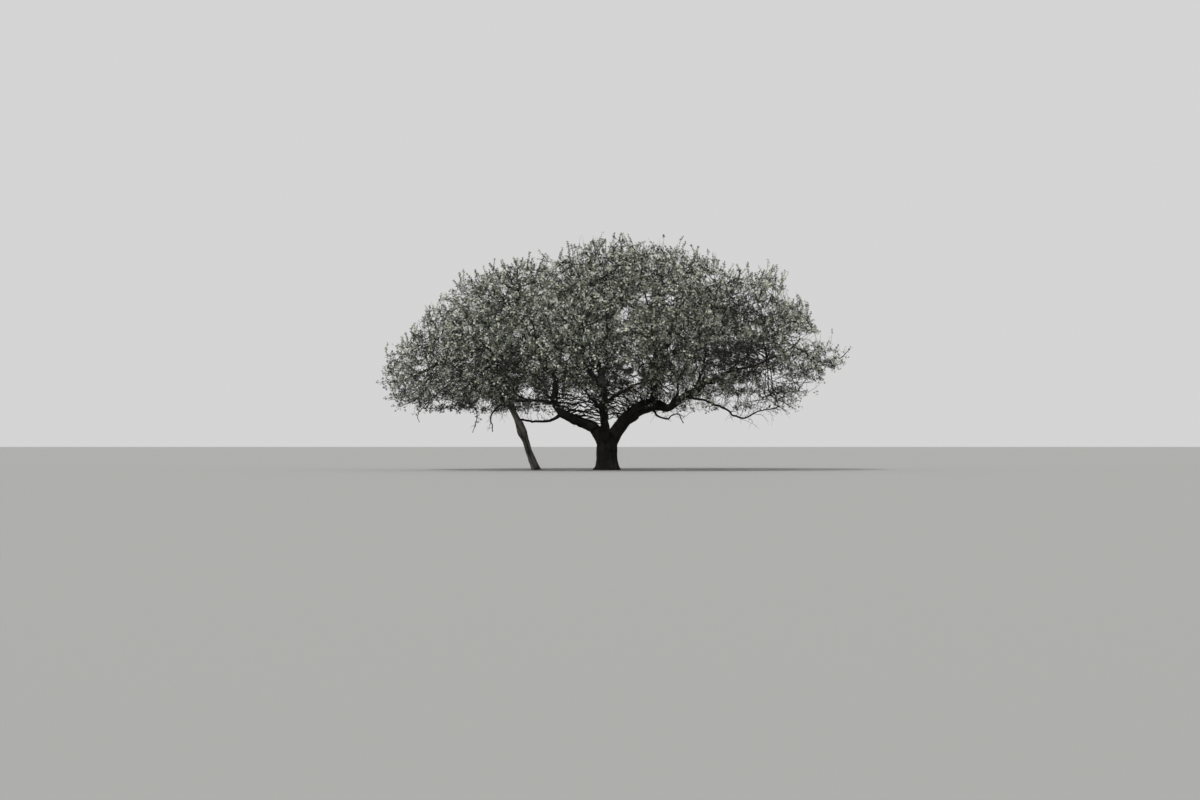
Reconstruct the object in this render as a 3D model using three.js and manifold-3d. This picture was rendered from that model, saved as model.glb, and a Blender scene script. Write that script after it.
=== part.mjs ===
// A wide-crowned acacia tree, rooted in level ground: a short trunk that forks low into spreading boughs, a thinner
// second stem beside it, and a flat-bottomed dome of foliage in separate masses.
// Millimetres. +Z is up, +X is to the right of the side shown and +Y goes away from the viewer.
// The origin is the centre of the flat cut under the trunk, at ground level.

import * as THREE from "three";
import { mergeVertices } from "three/addons/utils/BufferGeometryUtils.js";
import Module from "manifold-3d";

const wasm = await Module();
wasm.setup();

// Driving dimensions of the crown.
const CROWN_TOP = 6110;
const SPREAD_RIGHT = 6160;
const SPREAD_LEFT = 5860;
const SPREAD_DEPTH = 5000;
const RIM_HEIGHT = 2660;
const DOME_RIGHT = 0.5; // powers of the dome's fall: the right side stays full further out
const DOME_LEFT = 0.8;
const UNDERSIDE = 1490;
const UNDERSIDE_RISE = 500; // how much higher the foliage starts over the fork
const HOLLOW_REACH = 0.46; // share of the spread that this hollow under the crown covers
const EDGE_LEFT = 24; // powers of the underside's rise towards the edge
const EDGE_RIGHT = 8;

// Swells and dips of the dome along its width: where, how wide, and how much the top is raised or lowered.
const SWELLS = [
  { x: -3800, width: 480, rise: 200 },
  { x: -1450, width: 560, rise: -360 },
  { x: 1200, width: 380, rise: -150 },
  { x: 3200, width: 600, rise: -380 },
  { x: 4450, width: 420, rise: 260 },
  { x: 5500, width: 420, rise: -300 },
];
const SWELL_DEPTH = 3200; // they fade to the front and back over this distance

// Foliage.
const LEAF_LENGTH = 1220;
const LEAF_WIDTH = 730;
const LEAF_THICKNESS = 32;
const LEAF_WIDEST_AT = 0.4; // share of its length where a leaf is widest
const LEAF_THICKEST_AT = 0.14; // and where it is thickest, near its root
const LEAF_SHORTER = [1, 0.84, 0.7, 0.56]; // lengths tried before a leaf is skipped
const LEAF_SINK = 2; // the leaf's root lies this far behind the twig's middle
const TWIG_RADIUS = 29;
const CELL_GAP = 25; // half the free space kept between two masses
const SEED = 629; // another whole number grows the same crown from other draws

// Joints between pieces.
const CLEARANCE = 0.3;
const UP = new THREE.Vector3(0, 0, 1);

// Tiers of foliage masses, from the low rim to the top: how many stand round the tier, how far out, the bearing of the
// first from +X, the height of the centre between underside and dome, the space's half-widths and the leaves of each.
const TIERS = [
  { name: "rim", count: 11, reach: 0.77, bearing: 0, level: 0.47, wide: 1750, tall: 1850, leaves: 19, arms: 5 },
  { name: "shoulder", count: 7, reach: 0.47, bearing: 10, level: 0.74, wide: 1850, tall: 1500, leaves: 17, arms: 5 },
  { name: "top", count: 3, reach: 0.17, bearing: 90, level: 0.78, wide: 1600, tall: 1250, leaves: 18, arms: 5 },
  { name: "inner", count: 5, reach: 0.36, bearing: 20, level: 0.27, wide: 1300, tall: 950, leaves: 12, arms: 5 },
];

const BARK = new THREE.MeshStandardMaterial({ color: 0x2a2520, roughness: 0.95, metalness: 0 });
const PALE_BARK = new THREE.MeshStandardMaterial({ color: 0x5d564d, roughness: 0.95, metalness: 0 });
const FOLIAGE = new THREE.MeshStandardMaterial({ color: 0x5b6150, roughness: 0.8, metalness: 0 });

// A repeatable draw between 0 and 1 for a whole number, by mixing its bits.
function draw(n) {
  let h = Math.imul(n ^ (n >>> 16), 0x45d9f3b);
  h = Math.imul(h ^ (h >>> 16), 0x45d9f3b);
  return ((h ^ (h >>> 16)) >>> 0) / 4294967296;
}

// Evenly spread points in a unit cube: steps of powers of the plastic number's kin, wrapped into the cube.
const EVEN_STEP = [0.8191725133961645, 0.6710436067037893, 0.5497004779019703];
function evenPoint(k) {
  return EVEN_STEP.map((step) => (0.5 + k * step) % 1);
}

function point(x, y, z) {
  return new THREE.Vector3(x, y, z);
}

// The crown's envelope

function spreadShare(x, y) {
  return Math.hypot(x / (x < 0 ? SPREAD_LEFT : SPREAD_RIGHT), y / SPREAD_DEPTH);
}

function domeHeight(x, y) {
  const share = Math.min(1, spreadShare(x, y));
  const fall = (1 - share * share) ** (x < 0 ? DOME_LEFT : DOME_RIGHT);
  let height = RIM_HEIGHT + (CROWN_TOP - RIM_HEIGHT) * fall;
  for (const { x: middle, width, rise } of SWELLS) {
    height += rise * Math.exp(-(((x - middle) / width) ** 2) - (y / SWELL_DEPTH) ** 2);
  }
  return height;
}

function undersideHeight(x, y) {
  const share = Math.min(1, spreadShare(x, y));
  const hollow = UNDERSIDE_RISE * Math.max(0, 1 - (share / HOLLOW_REACH) ** 2);
  return UNDERSIDE + hollow + (RIM_HEIGHT - UNDERSIDE) * share ** (x < 0 ? EDGE_LEFT : EDGE_RIGHT);
}

function insideEnvelope(p) {
  return (
    spreadShare(p.x, p.y) < 1 &&
    p.z < domeHeight(p.x, p.y) &&
    p.z > undersideHeight(p.x, p.y)
  );
}

// The masses' centres and the space that each keeps to

function massList() {
  const masses = [];
  for (const tier of TIERS) {
    for (let i = 0; i < tier.count; i++) {
      const bearing = THREE.MathUtils.degToRad(tier.bearing + (360 * i) / tier.count);
      const side = Math.cos(bearing) < 0 ? SPREAD_LEFT : SPREAD_RIGHT;
      const x = tier.reach * side * Math.cos(bearing);
      const y = tier.reach * SPREAD_DEPTH * Math.sin(bearing);
      const z = THREE.MathUtils.lerp(undersideHeight(x, y), domeHeight(x, y), tier.level);
      const name = `${tier.name}_${i + 1}`;
      masses.push({ name, tier, centre: point(x, y, z), walls: [], seed: SEED + 1000 * (masses.length + 1) });
    }
  }
  // A wall stands between each two masses, where both are as far from it for their size.
  for (const a of masses) {
    for (const b of masses) {
      if (a === b) continue;
      const towards = b.centre.clone().sub(a.centre);
      const gap = towards.length();
      towards.normalize();
      const reachA = supportOf(a.tier, towards);
      const reachB = supportOf(b.tier, towards);
      if (gap > reachA + reachB) continue;
      const stand = (gap * reachA) / (reachA + reachB) - CELL_GAP;
      a.walls.push({ towards, limit: towards.dot(a.centre) + stand });
    }
  }
  return masses;
}

// How far a tier's ellipsoid reaches from its centre along a unit direction.
function supportOf(tier, direction) {
  return Math.hypot(direction.x * tier.wide, direction.y * tier.wide, direction.z * tier.tall);
}

const FULLNESS = 3; // 2 would make each space an ellipsoid; more fills its corners
function insideMass(mass, p) {
  const { wide, tall } = mass.tier;
  const d = p.clone().sub(mass.centre);
  const round = (Math.hypot(d.x, d.y) / wide) ** FULLNESS + (Math.abs(d.z) / tall) ** FULLNESS;
  return round < 1 && insideEnvelope(p) && mass.walls.every((w) => w.towards.dot(p) < w.limit);
}

// Where a limb that comes from a point enters a mass: part of the way from its centre to the edge of its space.
const ENTRY_SHARE = 0.72;
function entryOf(mass, from) {
  const towards = from.clone().sub(mass.centre).normalize();
  const step = 20;
  let reach = 0;
  while (insideMass(mass, mass.centre.clone().addScaledVector(towards, reach + step))) reach += step;
  return mass.centre.clone().addScaledVector(towards, reach * ENTRY_SHARE);
}

// Solids

// A closed tube of unit size: a capped cylinder whose shared corners are merged.
const unitTubes = new Map();
function unitTube(sides, steps) {
  const key = `${sides}_${steps}`;
  if (!unitTubes.has(key)) {
    const tube = new THREE.CylinderGeometry(1, 1, 1, sides, steps);
    tube.deleteAttribute("normal");
    tube.deleteAttribute("uv");
    unitTubes.set(key, mergeVertices(tube));
  }
  return unitTubes.get(key);
}

// A tapering limb: the unit tube's rings are set square to a curve, from one share of its length to another.
function limbGeometry(limb, from = 0, to = 1, grown = 0) {
  const steps = Math.max(1, Math.round(limb.steps * (to - from)));
  const geometry = unitTube(limb.sides, steps).clone();
  const frames = limb.curve.computeFrenetFrames(limb.steps, false);
  const corners = geometry.getAttribute("position");
  for (let i = 0; i < corners.count; i++) {
    const share = THREE.MathUtils.lerp(from, to, corners.getY(i) + 0.5);
    const at = share * limb.steps;
    const low = Math.min(Math.floor(at), limb.steps - 1);
    const normal = frames.normals[low].clone().lerp(frames.normals[low + 1], at - low);
    const tangent = limb.curve.getTangentAt(share);
    if (share === 0 && limb.flatFoot) tangent.copy(UP);
    normal.addScaledVector(tangent, -normal.dot(tangent)).normalize();
    const side = normal.clone().cross(tangent);
    const angle = Math.atan2(corners.getZ(i), corners.getX(i));
    const radius = (limb.radiusAt(share, angle) + grown) * Math.hypot(corners.getX(i), corners.getZ(i));
    const place = limb.curve
      .getPointAt(share)
      .addScaledVector(normal, Math.cos(angle) * radius)
      .addScaledVector(side, Math.sin(angle) * radius);
    corners.setXYZ(i, place.x, place.y, place.z);
  }
  return geometry;
}

function solidOf(geometry) {
  return new wasm.Manifold(
    new wasm.Mesh({
      numProp: 3,
      vertProperties: new Float32Array(geometry.getAttribute("position").array),
      triVerts: new Uint32Array(geometry.index.array),
    }),
  );
}

// The largest body of a solid, so that no loose scrap stays, with any sealed hollow filled.
function largestOf(solid) {
  const bodies = solid.decompose().sort((a, b) => b.volume() - a.volume());
  return bodies[0];
}

function meshOf(name, solid, material) {
  const { vertProperties, triVerts, numProp } = solid.getMesh();
  const geometry = new THREE.BufferGeometry();
  const places = new THREE.InterleavedBuffer(vertProperties, numProp);
  geometry.setAttribute("position", new THREE.InterleavedBufferAttribute(places, 3, 0));
  geometry.setIndex(new THREE.BufferAttribute(triVerts, 1));
  const mesh = new THREE.Mesh(geometry, material);
  mesh.name = name;
  return mesh;
}

// Limbs

// A limb from stations [x, y, z, radius]: a smooth curve, with the radius carried between stations.
function limbThrough(stations, { sides = 7, steps = 2 * stations.length, flatFoot = false, lobes } = {}) {
  const points = stations.map(([x, y, z]) => point(x, y, z));
  const curve = new THREE.CatmullRomCurve3(points, false, "centripetal");
  curve.arcLengthDivisions = 400;
  const lengths = [0];
  for (let i = 1; i < points.length; i++) lengths.push(lengths[i - 1] + points[i].distanceTo(points[i - 1]));
  const whole = lengths.at(-1);
  function radiusAt(share, angle = 0) {
    const gone = share * whole;
    let i = 1;
    while (i < lengths.length - 1 && lengths[i] < gone) i++;
    const mix = THREE.MathUtils.clamp((gone - lengths[i - 1]) / (lengths[i] - lengths[i - 1]), 0, 1);
    const radius = THREE.MathUtils.lerp(stations[i - 1][3], stations[i][3], mix);
    return lobes ? radius * lobes(share, angle) : radius;
  }
  return { curve, radiusAt, sides, steps, flatFoot };
}

// A bough by rule: it leaves its parent between the parent's own run and the way to its mass, bows, and comes in rising.
const LEAVE_WITH_PARENT = 0.45;
const ARRIVE_RISING = 0.55;
const BOW = 0.36; // share of the span over which each end's direction holds
const GNARL = 0.035; // sideways wander, as a share of the span
const BOUGH_TIP_RADIUS = 38;
function boughStations(start, parentRun, goal, rootRadius, seed) {
  const span = start.distanceTo(goal);
  const way = goal.clone().sub(start).normalize();
  const leave = parentRun.clone().multiplyScalar(LEAVE_WITH_PARENT).add(way).normalize();
  const arrive = way.clone().addScaledVector(UP, ARRIVE_RISING).normalize();
  const curve = new THREE.CubicBezierCurve3(
    start,
    start.clone().addScaledVector(leave, span * BOW),
    goal.clone().addScaledVector(arrive, -span * BOW),
    goal,
  );
  const inner = 4;
  return curve.getPoints(inner + 1).map((p, i) => {
    const share = i / (inner + 1);
    if (i > 0 && i <= inner) {
      const wander = [0, 1, 2].map((axis) => (draw(seed + 3 * i + axis) - 0.5) * 2 * GNARL * span);
      p.add(point(...wander));
    }
    return [p.x, p.y, p.z, THREE.MathUtils.lerp(rootRadius, BOUGH_TIP_RADIUS, share ** 0.8)];
  });
}

const limbs = new Map(); // name to limb: its curve, its radius and its finished solid

// The share of a limb's length that comes nearest to a point.
function shareNear(limb, [x, y, z]) {
  const goal = point(x, y, z);
  const tries = 400;
  let best = 0;
  for (let i = 0; i <= tries; i++) {
    const here = limb.curve.getPointAt(i / tries).distanceTo(goal);
    if (here < limb.curve.getPointAt(best).distanceTo(goal)) best = i / tries;
  }
  return best;
}

function stationAt(limb, share) {
  return { place: limb.curve.getPointAt(share), run: limb.curve.getTangentAt(share), radius: limb.radiusAt(share) };
}

// Cuts a limb's root to its neighbours, with the clearance between them.
function cutClear(solid, others) {
  for (const other of others) {
    const grown = solidOf(limbGeometry(other, 0, 1, 1.6 * CLEARANCE));
    if (!solid.intersect(grown).isEmpty()) solid = largestOf(solid.subtract(grown));
  }
  return solid;
}

// The trunk: a column with a root flare, fused with the first run of each bough that rises from its head.
const FLARE_HEIGHT = 170;
const FLARE_LOBES = 5;
const trunkColumn = limbThrough(
  [
    [0, 0, 0, 340],
    [0, 0, 110, 292],
    [-8, 0, 300, 266],
    [-2, 0, 600, 272],
    [6, 0, 900, 222],
  ],
  {
    sides: 12,
    steps: 7,
    flatFoot: true,
    lobes: (share, angle) => 1 + 0.13 * Math.exp((-share * 900) / FLARE_HEIGHT) * Math.cos(FLARE_LOBES * angle + 0.6),
  },
);

const masses = massList();
const massNamed = (name) => masses.find((m) => m.name === name);

// Scaffold boughs from the trunk's head: stations of the run that shows, then on to the mass that each feeds.
const HEAD_BOUGHS = {
  left_bough: {
    feeds: "shoulder_4",
    tip: 42,
    stations: [
      [-60, 0, 640, 165],
      [-290, -10, 1000, 150],
      [-600, -40, 1215, 126],
      [-900, -70, 1320, 116],
      [-1190, -80, 1480, 105],
      [-1350, -60, 1730, 90],
      [-1355, 40, 2350, 74],
    ],
  },
  right_bough: {
    feeds: "rim_1",
    tip: 42,
    stations: [
      [60, 0, 640, 185],
      [245, 0, 1010, 172],
      [480, 20, 1300, 170],
      [930, 60, 1622, 172],
      [1250, 70, 1690, 150],
      [1600, 40, 1632, 106],
      [2130, 0, 1990, 78],
    ],
  },
  centre_bough: {
    feeds: "top_1",
    tip: 42,
    stations: [
      [-20, 10, 700, 110],
      [-85, 0, 1000, 86],
      [-105, 0, 1480, 78],
      [-165, 20, 2050, 70],
    ],
  },
  back_bough: {
    feeds: "rim_4",
    tip: 40,
    stations: [
      [0, 90, 640, 120],
      [-40, 330, 1040, 96],
      [-70, 900, 1520, 82],
      [-90, 1700, 1960, 68],
    ],
  },
  front_bough: {
    feeds: "rim_9",
    tip: 40,
    stations: [
      [0, -90, 640, 115],
      [-60, -330, 1060, 92],
      [-90, -900, 1560, 78],
      [-60, -1700, 1960, 64],
    ],
  },
};

// The share of a head bough that is fused to the trunk: up to where it is clear of its neighbours.
const HEAD_RUN = 430;

const pieces = []; // { name, solid, material } in the order made
let trunkSolid = solidOf(limbGeometry(trunkColumn));

function onwards(stations, massName, tipRadius) {
  const [x, y, z] = stations.at(-1);
  const entry = entryOf(massNamed(massName), point(x, y, z));
  const [bx, by, bz, radius] = stations.at(-1);
  const mid = point(bx, by, bz).lerp(entry, 0.5);
  const span = point(bx, by, bz).distanceTo(entry);
  const rise = 0.05 * span;
  return [
    ...stations,
    [mid.x, mid.y, mid.z + rise, THREE.MathUtils.lerp(radius, tipRadius, 0.55)],
    [entry.x, entry.y, entry.z, tipRadius],
  ];
}

function addLimb(name, limb, solid, material = BARK) {
  limb.solid = solid;
  limbs.set(name, limb);
  pieces.push({ name, solid, material });
}

for (const [name, { feeds, tip, stations }] of Object.entries(HEAD_BOUGHS)) {
  const limb = limbThrough(onwards(stations, feeds, tip), { sides: 8, steps: 14 });
  const length = limb.curve.getLength();
  limb.from = Math.ceil((HEAD_RUN / length) * limb.steps) / limb.steps;
  limb.feeds = feeds;
  trunkSolid = trunkSolid.add(solidOf(limbGeometry(limb, 0, limb.from)));
  limbs.set(name, limb);
}
trunkSolid = largestOf(trunkSolid);
pieces.push({ name: "trunk", solid: trunkSolid, material: BARK });
for (const name of Object.keys(HEAD_BOUGHS)) {
  const limb = limbs.get(name);
  const start = limb.from + CLEARANCE / limb.curve.getLength();
  addLimb(name, limb, solidOf(limbGeometry(limb, start, 1)));
}

// The second stem, from its own flat cut at ground level, leaning away from the trunk.
const secondStem = limbThrough(
  onwards(
    [
      [-1850, 380, 0, 125],
      [-1895, 380, 120, 104],
      [-2045, 375, 500, 88],
      [-2125, 366, 760, 85],
      [-2205, 360, 950, 120],
      [-2268, 352, 1150, 106],
      [-2350, 340, 1330, 80],
      [-2520, 320, 1620, 68],
      [-2900, 330, 2020, 60],
    ],
    "rim_6",
    40,
  ),
  { sides: 8, steps: 18, flatFoot: true },
);
secondStem.feeds = "rim_6";
addLimb("second_stem", secondStem, solidOf(limbGeometry(secondStem)), PALE_BARK);

// Side limbs that show: stations after the point on the parent where each starts.
const SIDE_LIMBS = [
  {
    name: "right_riser",
    parent: "right_bough",
    near: [1230, 70, 1690],
    radius: 92,
    feeds: "top_3",
    stations: [
      [1225, 90, 2200, 74],
      [1290, 110, 3250, 62],
    ],
  },
  {
    name: "left_low_bough",
    parent: "left_bough",
    near: [-1360, -60, 1730],
    radius: 76,
    feeds: "rim_7",
    stations: [
      [-1700, -190, 1790, 60],
      [-2350, -480, 1800, 52],
    ],
  },
  {
    name: "right_low_bough",
    parent: "right_bough",
    near: [2050, 10, 1900],
    radius: 58,
    feeds: "rim_11",
    stations: [
      [2420, -170, 1810, 46],
      [3030, -430, 1580, 42],
      [3270, -540, 1400, 40],
      [3560, -680, 1330, 38],
      [3760, -780, 1470, 36],
      [4340, -1060, 1590, 33],
    ],
  },
];

for (const { name, parent, near, radius, feeds, stations } of SIDE_LIMBS) {
  const { place } = stationAt(limbs.get(parent), shareNear(limbs.get(parent), near));
  const limb = limbThrough(onwards([[...place.toArray(), radius], ...stations], feeds, 36), { sides: 6, steps: 12 });
  limb.feeds = feeds;
  addLimb(name, limb, cutClear(solidOf(limbGeometry(limb)), [limbs.get(parent)]));
}

// The boughs by rule: the mass that each feeds, its parent, and the share of the parent's length where it starts.
const RULED_BOUGHS = [
  ["rim_2", "right_bough", 0.56],
  ["rim_3", "back_bough", 0.44],
  ["rim_5", "second_stem", 0.5],
  ["rim_8", "left_low_bough", 0.3],
  ["rim_10", "front_bough", 0.42],
  ["shoulder_1", "right_bough", 0.66],
  ["shoulder_2", "right_riser", 0.42],
  ["shoulder_3", "back_bough", 0.56],
  ["shoulder_5", "left_bough", 0.62],
  ["shoulder_6", "front_bough", 0.55],
  ["shoulder_7", "right_riser", 0.3],
  ["top_2", "centre_bough", 0.42],
  ["inner_1", "right_bough", 0.48],
  ["inner_2", "back_bough", 0.34],
  ["inner_3", "left_bough", 0.33],
  ["inner_4", "front_bough", 0.33],
  ["inner_5", "right_bough", 0.36],
];
const ROOT_SHARE = 0.62; // a bough's root against its parent's thickness there
const MOST_ROOT = 62;

RULED_BOUGHS.forEach(([massName, parent, along], i) => {
  const from = stationAt(limbs.get(parent), along);
  const entry = entryOf(massNamed(massName), from.place);
  const rootRadius = Math.min(MOST_ROOT, ROOT_SHARE * from.radius);
  const stations = boughStations(from.place, from.run, entry, rootRadius, 100 * (i + 1));
  const limb = limbThrough(stations, { sides: 5, steps: 7 });
  limb.feeds = massName;
  const near = [...limbs.values()];
  addLimb(`bough_${massName}`, limb, cutClear(solidOf(limbGeometry(limb)), near));
});

// The thin branch that crosses under the crown from the left bough to the second stem.
const crossFrom = stationAt(limbs.get("left_bough"), shareNear(limbs.get("left_bough"), [-1200, -80, 1440]));
const crossTo = stationAt(secondStem, shareNear(secondStem, [-2380, 340, 1310]));
const crossBranch = limbThrough(
  [
    [...crossFrom.place.toArray(), 40],
    [-1530, 60, 1265, 33],
    [-1850, 200, 1245, 30],
    [...crossTo.place.toArray(), 24],
  ],
  { sides: 5, steps: 8 },
);
addLimb(
  "cross_branch",
  crossBranch,
  cutClear(solidOf(limbGeometry(crossBranch)), [limbs.get("left_bough"), secondStem]),
);

// Bare dead limbs that hang under the crown.
const DEAD_LIMBS = [
  {
    name: "dead_limb_right",
    parent: "right_bough",
    near: [1130, 70, 1670],
    stations: [
      [1330, -20, 1370, 22],
      [1570, -60, 1290, 18],
      [1800, -60, 1450, 15],
      [1990, -60, 1215, 12],
    ],
  },
  {
    name: "dead_limb_left",
    parent: "left_low_bough",
    near: [-2500, -500, 1830],
    stations: [
      [-2900, -620, 1560, 24],
      [-2990, -640, 1280, 18],
      [-2950, -640, 990, 12],
    ],
  },
];
for (const { name, parent, near, stations } of DEAD_LIMBS) {
  const { place } = stationAt(limbs.get(parent), shareNear(limbs.get(parent), near));
  const limb = limbThrough([[...place.toArray(), 28], ...stations], { sides: 4, steps: 8 });
  addLimb(name, limb, cutClear(solidOf(limbGeometry(limb)), [...limbs.values()]));
}

// Foliage

// A leaf: an octahedron drawn out to a kite-shaped blade, thin between its faces.
const unitLeaf = new THREE.OctahedronGeometry(1);
unitLeaf.deleteAttribute("normal");
unitLeaf.deleteAttribute("uv");
const mergedLeaf = mergeVertices(unitLeaf);
function leafSolid({ base, along, across, length }) {
  const normal = along.clone().cross(across);
  const half = leafHalfWidth(length);
  const geometry = mergedLeaf.clone();
  const corners = geometry.getAttribute("position");
  for (let i = 0; i < corners.count; i++) {
    let share = (corners.getX(i) + 1) / 2;
    if (corners.getY(i) !== 0) share = LEAF_WIDEST_AT;
    if (corners.getZ(i) !== 0) share = LEAF_THICKEST_AT;
    const place = base
      .clone()
      .addScaledVector(along, share * (length + LEAF_SINK) - LEAF_SINK)
      .addScaledVector(across, corners.getY(i) * half)
      .addScaledVector(normal, (corners.getZ(i) * LEAF_THICKNESS) / 2);
    corners.setXYZ(i, place.x, place.y, place.z);
  }
  return solidOf(geometry);
}

function leafHalfWidth(length) {
  return (LEAF_WIDTH * length) / LEAF_LENGTH / 2;
}

function leafCorners({ base, along, across, length }) {
  const half = leafHalfWidth(length);
  const widest = base.clone().addScaledVector(along, length * LEAF_WIDEST_AT);
  return [
    base.clone().addScaledVector(along, length),
    widest.clone().addScaledVector(across, half),
    widest.clone().addScaledVector(across, -half),
  ];
}

function boxesMeet(a, b) {
  return [0, 1, 2].every((axis) => a.min[axis] < b.max[axis] && b.min[axis] < a.max[axis]);
}

function meets(part, other) {
  return boxesMeet(part.box, other.box) && !part.solid.intersect(other.solid).isEmpty();
}

function boxed(solid, more = {}) {
  return { solid, box: solid.boundingBox(), ...more };
}

function touchesLimb(part) {
  return limbSpaces.some((space) => meets(part, space));
}

// Where two parts of a mass cross, only the join itself is allowed: the shared piece stays small.
const JOIN_SIZE = 150;
function crossesBeyondJoin(part, other) {
  if (!boxesMeet(part.box, other.box)) return false;
  const shared = part.solid.intersect(other.solid);
  if (shared.isEmpty()) return false;
  const { min, max } = shared.boundingBox();
  return Math.hypot(max[0] - min[0], max[1] - min[1], max[2] - min[2]) > JOIN_SIZE;
}

// A twig: a long three-sided spike from its root to a point.
const unitSpike = new THREE.TetrahedronGeometry(1);
unitSpike.deleteAttribute("normal");
unitSpike.deleteAttribute("uv");
const mergedSpike = mergeVertices(unitSpike);
function twigSolid(root, end) {
  const run = end.clone().sub(root).normalize();
  const normal = point(0, 1, 0).addScaledVector(run, -run.y).normalize();
  const side = run.clone().cross(normal);
  const geometry = mergedSpike.clone();
  const corners = geometry.getAttribute("position");
  const apex = point(corners.getX(0), corners.getY(0), corners.getZ(0)).normalize();
  const across = point(corners.getX(1), corners.getY(1), corners.getZ(1)).addScaledVector(apex, 1 / 3).normalize();
  const square = apex.clone().cross(across);
  for (let i = 0; i < corners.count; i++) {
    const corner = point(corners.getX(i), corners.getY(i), corners.getZ(i));
    const atApex = corner.dot(apex) > 0.9;
    const round = Math.atan2(corner.dot(square), corner.dot(across));
    const place = atApex
      ? end.clone()
      : root
          .clone()
          .addScaledVector(normal, Math.cos(round) * TWIG_RADIUS)
          .addScaledVector(side, Math.sin(round) * TWIG_RADIUS);
    corners.setXYZ(i, place.x, place.y, place.z);
  }
  return solidOf(geometry);
}

// How far a mass's space reaches from a point inside it along a unit direction.
function reachInside(mass, from, towards) {
  const step = 20;
  let reach = 0;
  while (insideMass(mass, from.clone().addScaledVector(towards, reach + step))) reach += step;
  return reach;
}

// The twigs of a mass: arms that leave its stem in turn, each a golden angle round from the last, the first ones
// leaning back and the last ones forward, and each as long as the mass's space allows.
const FIRST_ARM_AT = 0.15;
const LAST_ARM_AT = 0.97;
const FIRST_ARM_TILT = -35;
const LAST_ARM_TILT = 55;
const ARM_REACH = 0.97;
const LEAFY_SHARE = 0.8; // leaves stand on this much of a twig
const LEAST_ARM = 300;
const GOLDEN_ANGLE = Math.PI * (3 - Math.sqrt(5));
function armsOf(mass, stem) {
  const arms = [];
  const count = mass.tier.arms;
  for (let i = 0; i < count; i++) {
    const share = i / (count - 1);
    const at = THREE.MathUtils.lerp(FIRST_ARM_AT, LAST_ARM_AT, share);
    const root = stem.curve.getPointAt(at);
    const run = stem.curve.getTangentAt(at);
    const tilt = THREE.MathUtils.degToRad(THREE.MathUtils.lerp(FIRST_ARM_TILT, LAST_ARM_TILT, share));
    const round = GOLDEN_ANGLE * i + 2 * Math.PI * draw(mass.seed);
    const flat = run.clone().cross(Math.abs(run.z) > 0.9 ? point(1, 0, 0) : UP).normalize();
    const towards = flat
      .applyAxisAngle(run, round)
      .multiplyScalar(Math.cos(tilt))
      .addScaledVector(run, Math.sin(tilt));
    const length = ARM_REACH * reachInside(mass, root, towards);
    if (length < LEAST_ARM) continue;
    const end = root.clone().addScaledVector(towards, length);
    const part = boxed(twigSolid(root, end), { root, towards, length });
    if (touchesLimb(part)) continue;
    arms.push(part);
  }
  return arms;
}

// The leaves of a mass. Evenly spread points are taken in its space; the nearest twig carries a leaf whose middle is
// at the point. A leaf is skipped where it would leave the space, touch a limb or cross another leaf or twig.
const PLACES_TRIED = 900;
const LEAST_ANGLE = 0.55; // sine of the sharpest angle between a leaf and its twig
function leavesOf(mass, stemParts, arms) {
  const { wide, tall } = mass.tier;
  const leaves = [];
  for (let k = 1; k < PLACES_TRIED && leaves.length < mass.tier.leaves; k++) {
    const [u, v, w] = evenPoint(k + mass.seed);
    const offset = point((2 * u - 1) * wide, (2 * v - 1) * wide, (2 * w - 1) * tall);
    const middle = mass.centre.clone().add(offset);
    if (!insideMass(mass, middle)) continue;
    for (const [attempt, shorter] of LEAF_SHORTER.entries()) {
      const length = LEAF_LENGTH * shorter;
      const twig = nearestTwig(arms, middle);
      if (twig.away > length * 0.7 || twig.away < (length / 2) * LEAST_ANGLE) continue;
      const back = Math.sqrt(Math.max(0, (length / 2) ** 2 - twig.away ** 2));
      const at = THREE.MathUtils.clamp(twig.at - back, 0.08 * twig.arm.length, LEAFY_SHARE * twig.arm.length);
      const base = twig.arm.root.clone().addScaledVector(twig.arm.towards, at);
      const along = middle.clone().sub(base).normalize();
      const turn = Math.PI * draw(mass.seed + 7 * k + attempt);
      const flat = along.clone().cross(Math.abs(along.z) > 0.9 ? point(1, 0, 0) : UP).normalize();
      const leaf = { base, along, across: flat.applyAxisAngle(along, turn), length };
      if (!leafCorners(leaf).every((p) => insideMass(mass, p))) continue;
      const part = boxed(leafSolid(leaf), leaf);
      if (crossesBeyondJoin(part, twig.arm)) continue;
      if (stemParts.some((other) => meets(part, other))) continue;
      if (arms.some((other) => other !== twig.arm && meets(part, other))) continue;
      if (leaves.some((other) => meets(part, other))) continue;
      if (touchesLimb(part)) continue;
      leaves.push(part);
      break;
    }
  }
  return leaves;
}

function nearestTwig(arms, p) {
  let best = { away: Infinity };
  for (const arm of arms) {
    const way = p.clone().sub(arm.root);
    const at = THREE.MathUtils.clamp(way.dot(arm.towards), 0, arm.length);
    const away = way.addScaledVector(arm.towards, -at).length();
    if (away < best.away) best = { arm, at, away };
  }
  return best;
}

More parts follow.
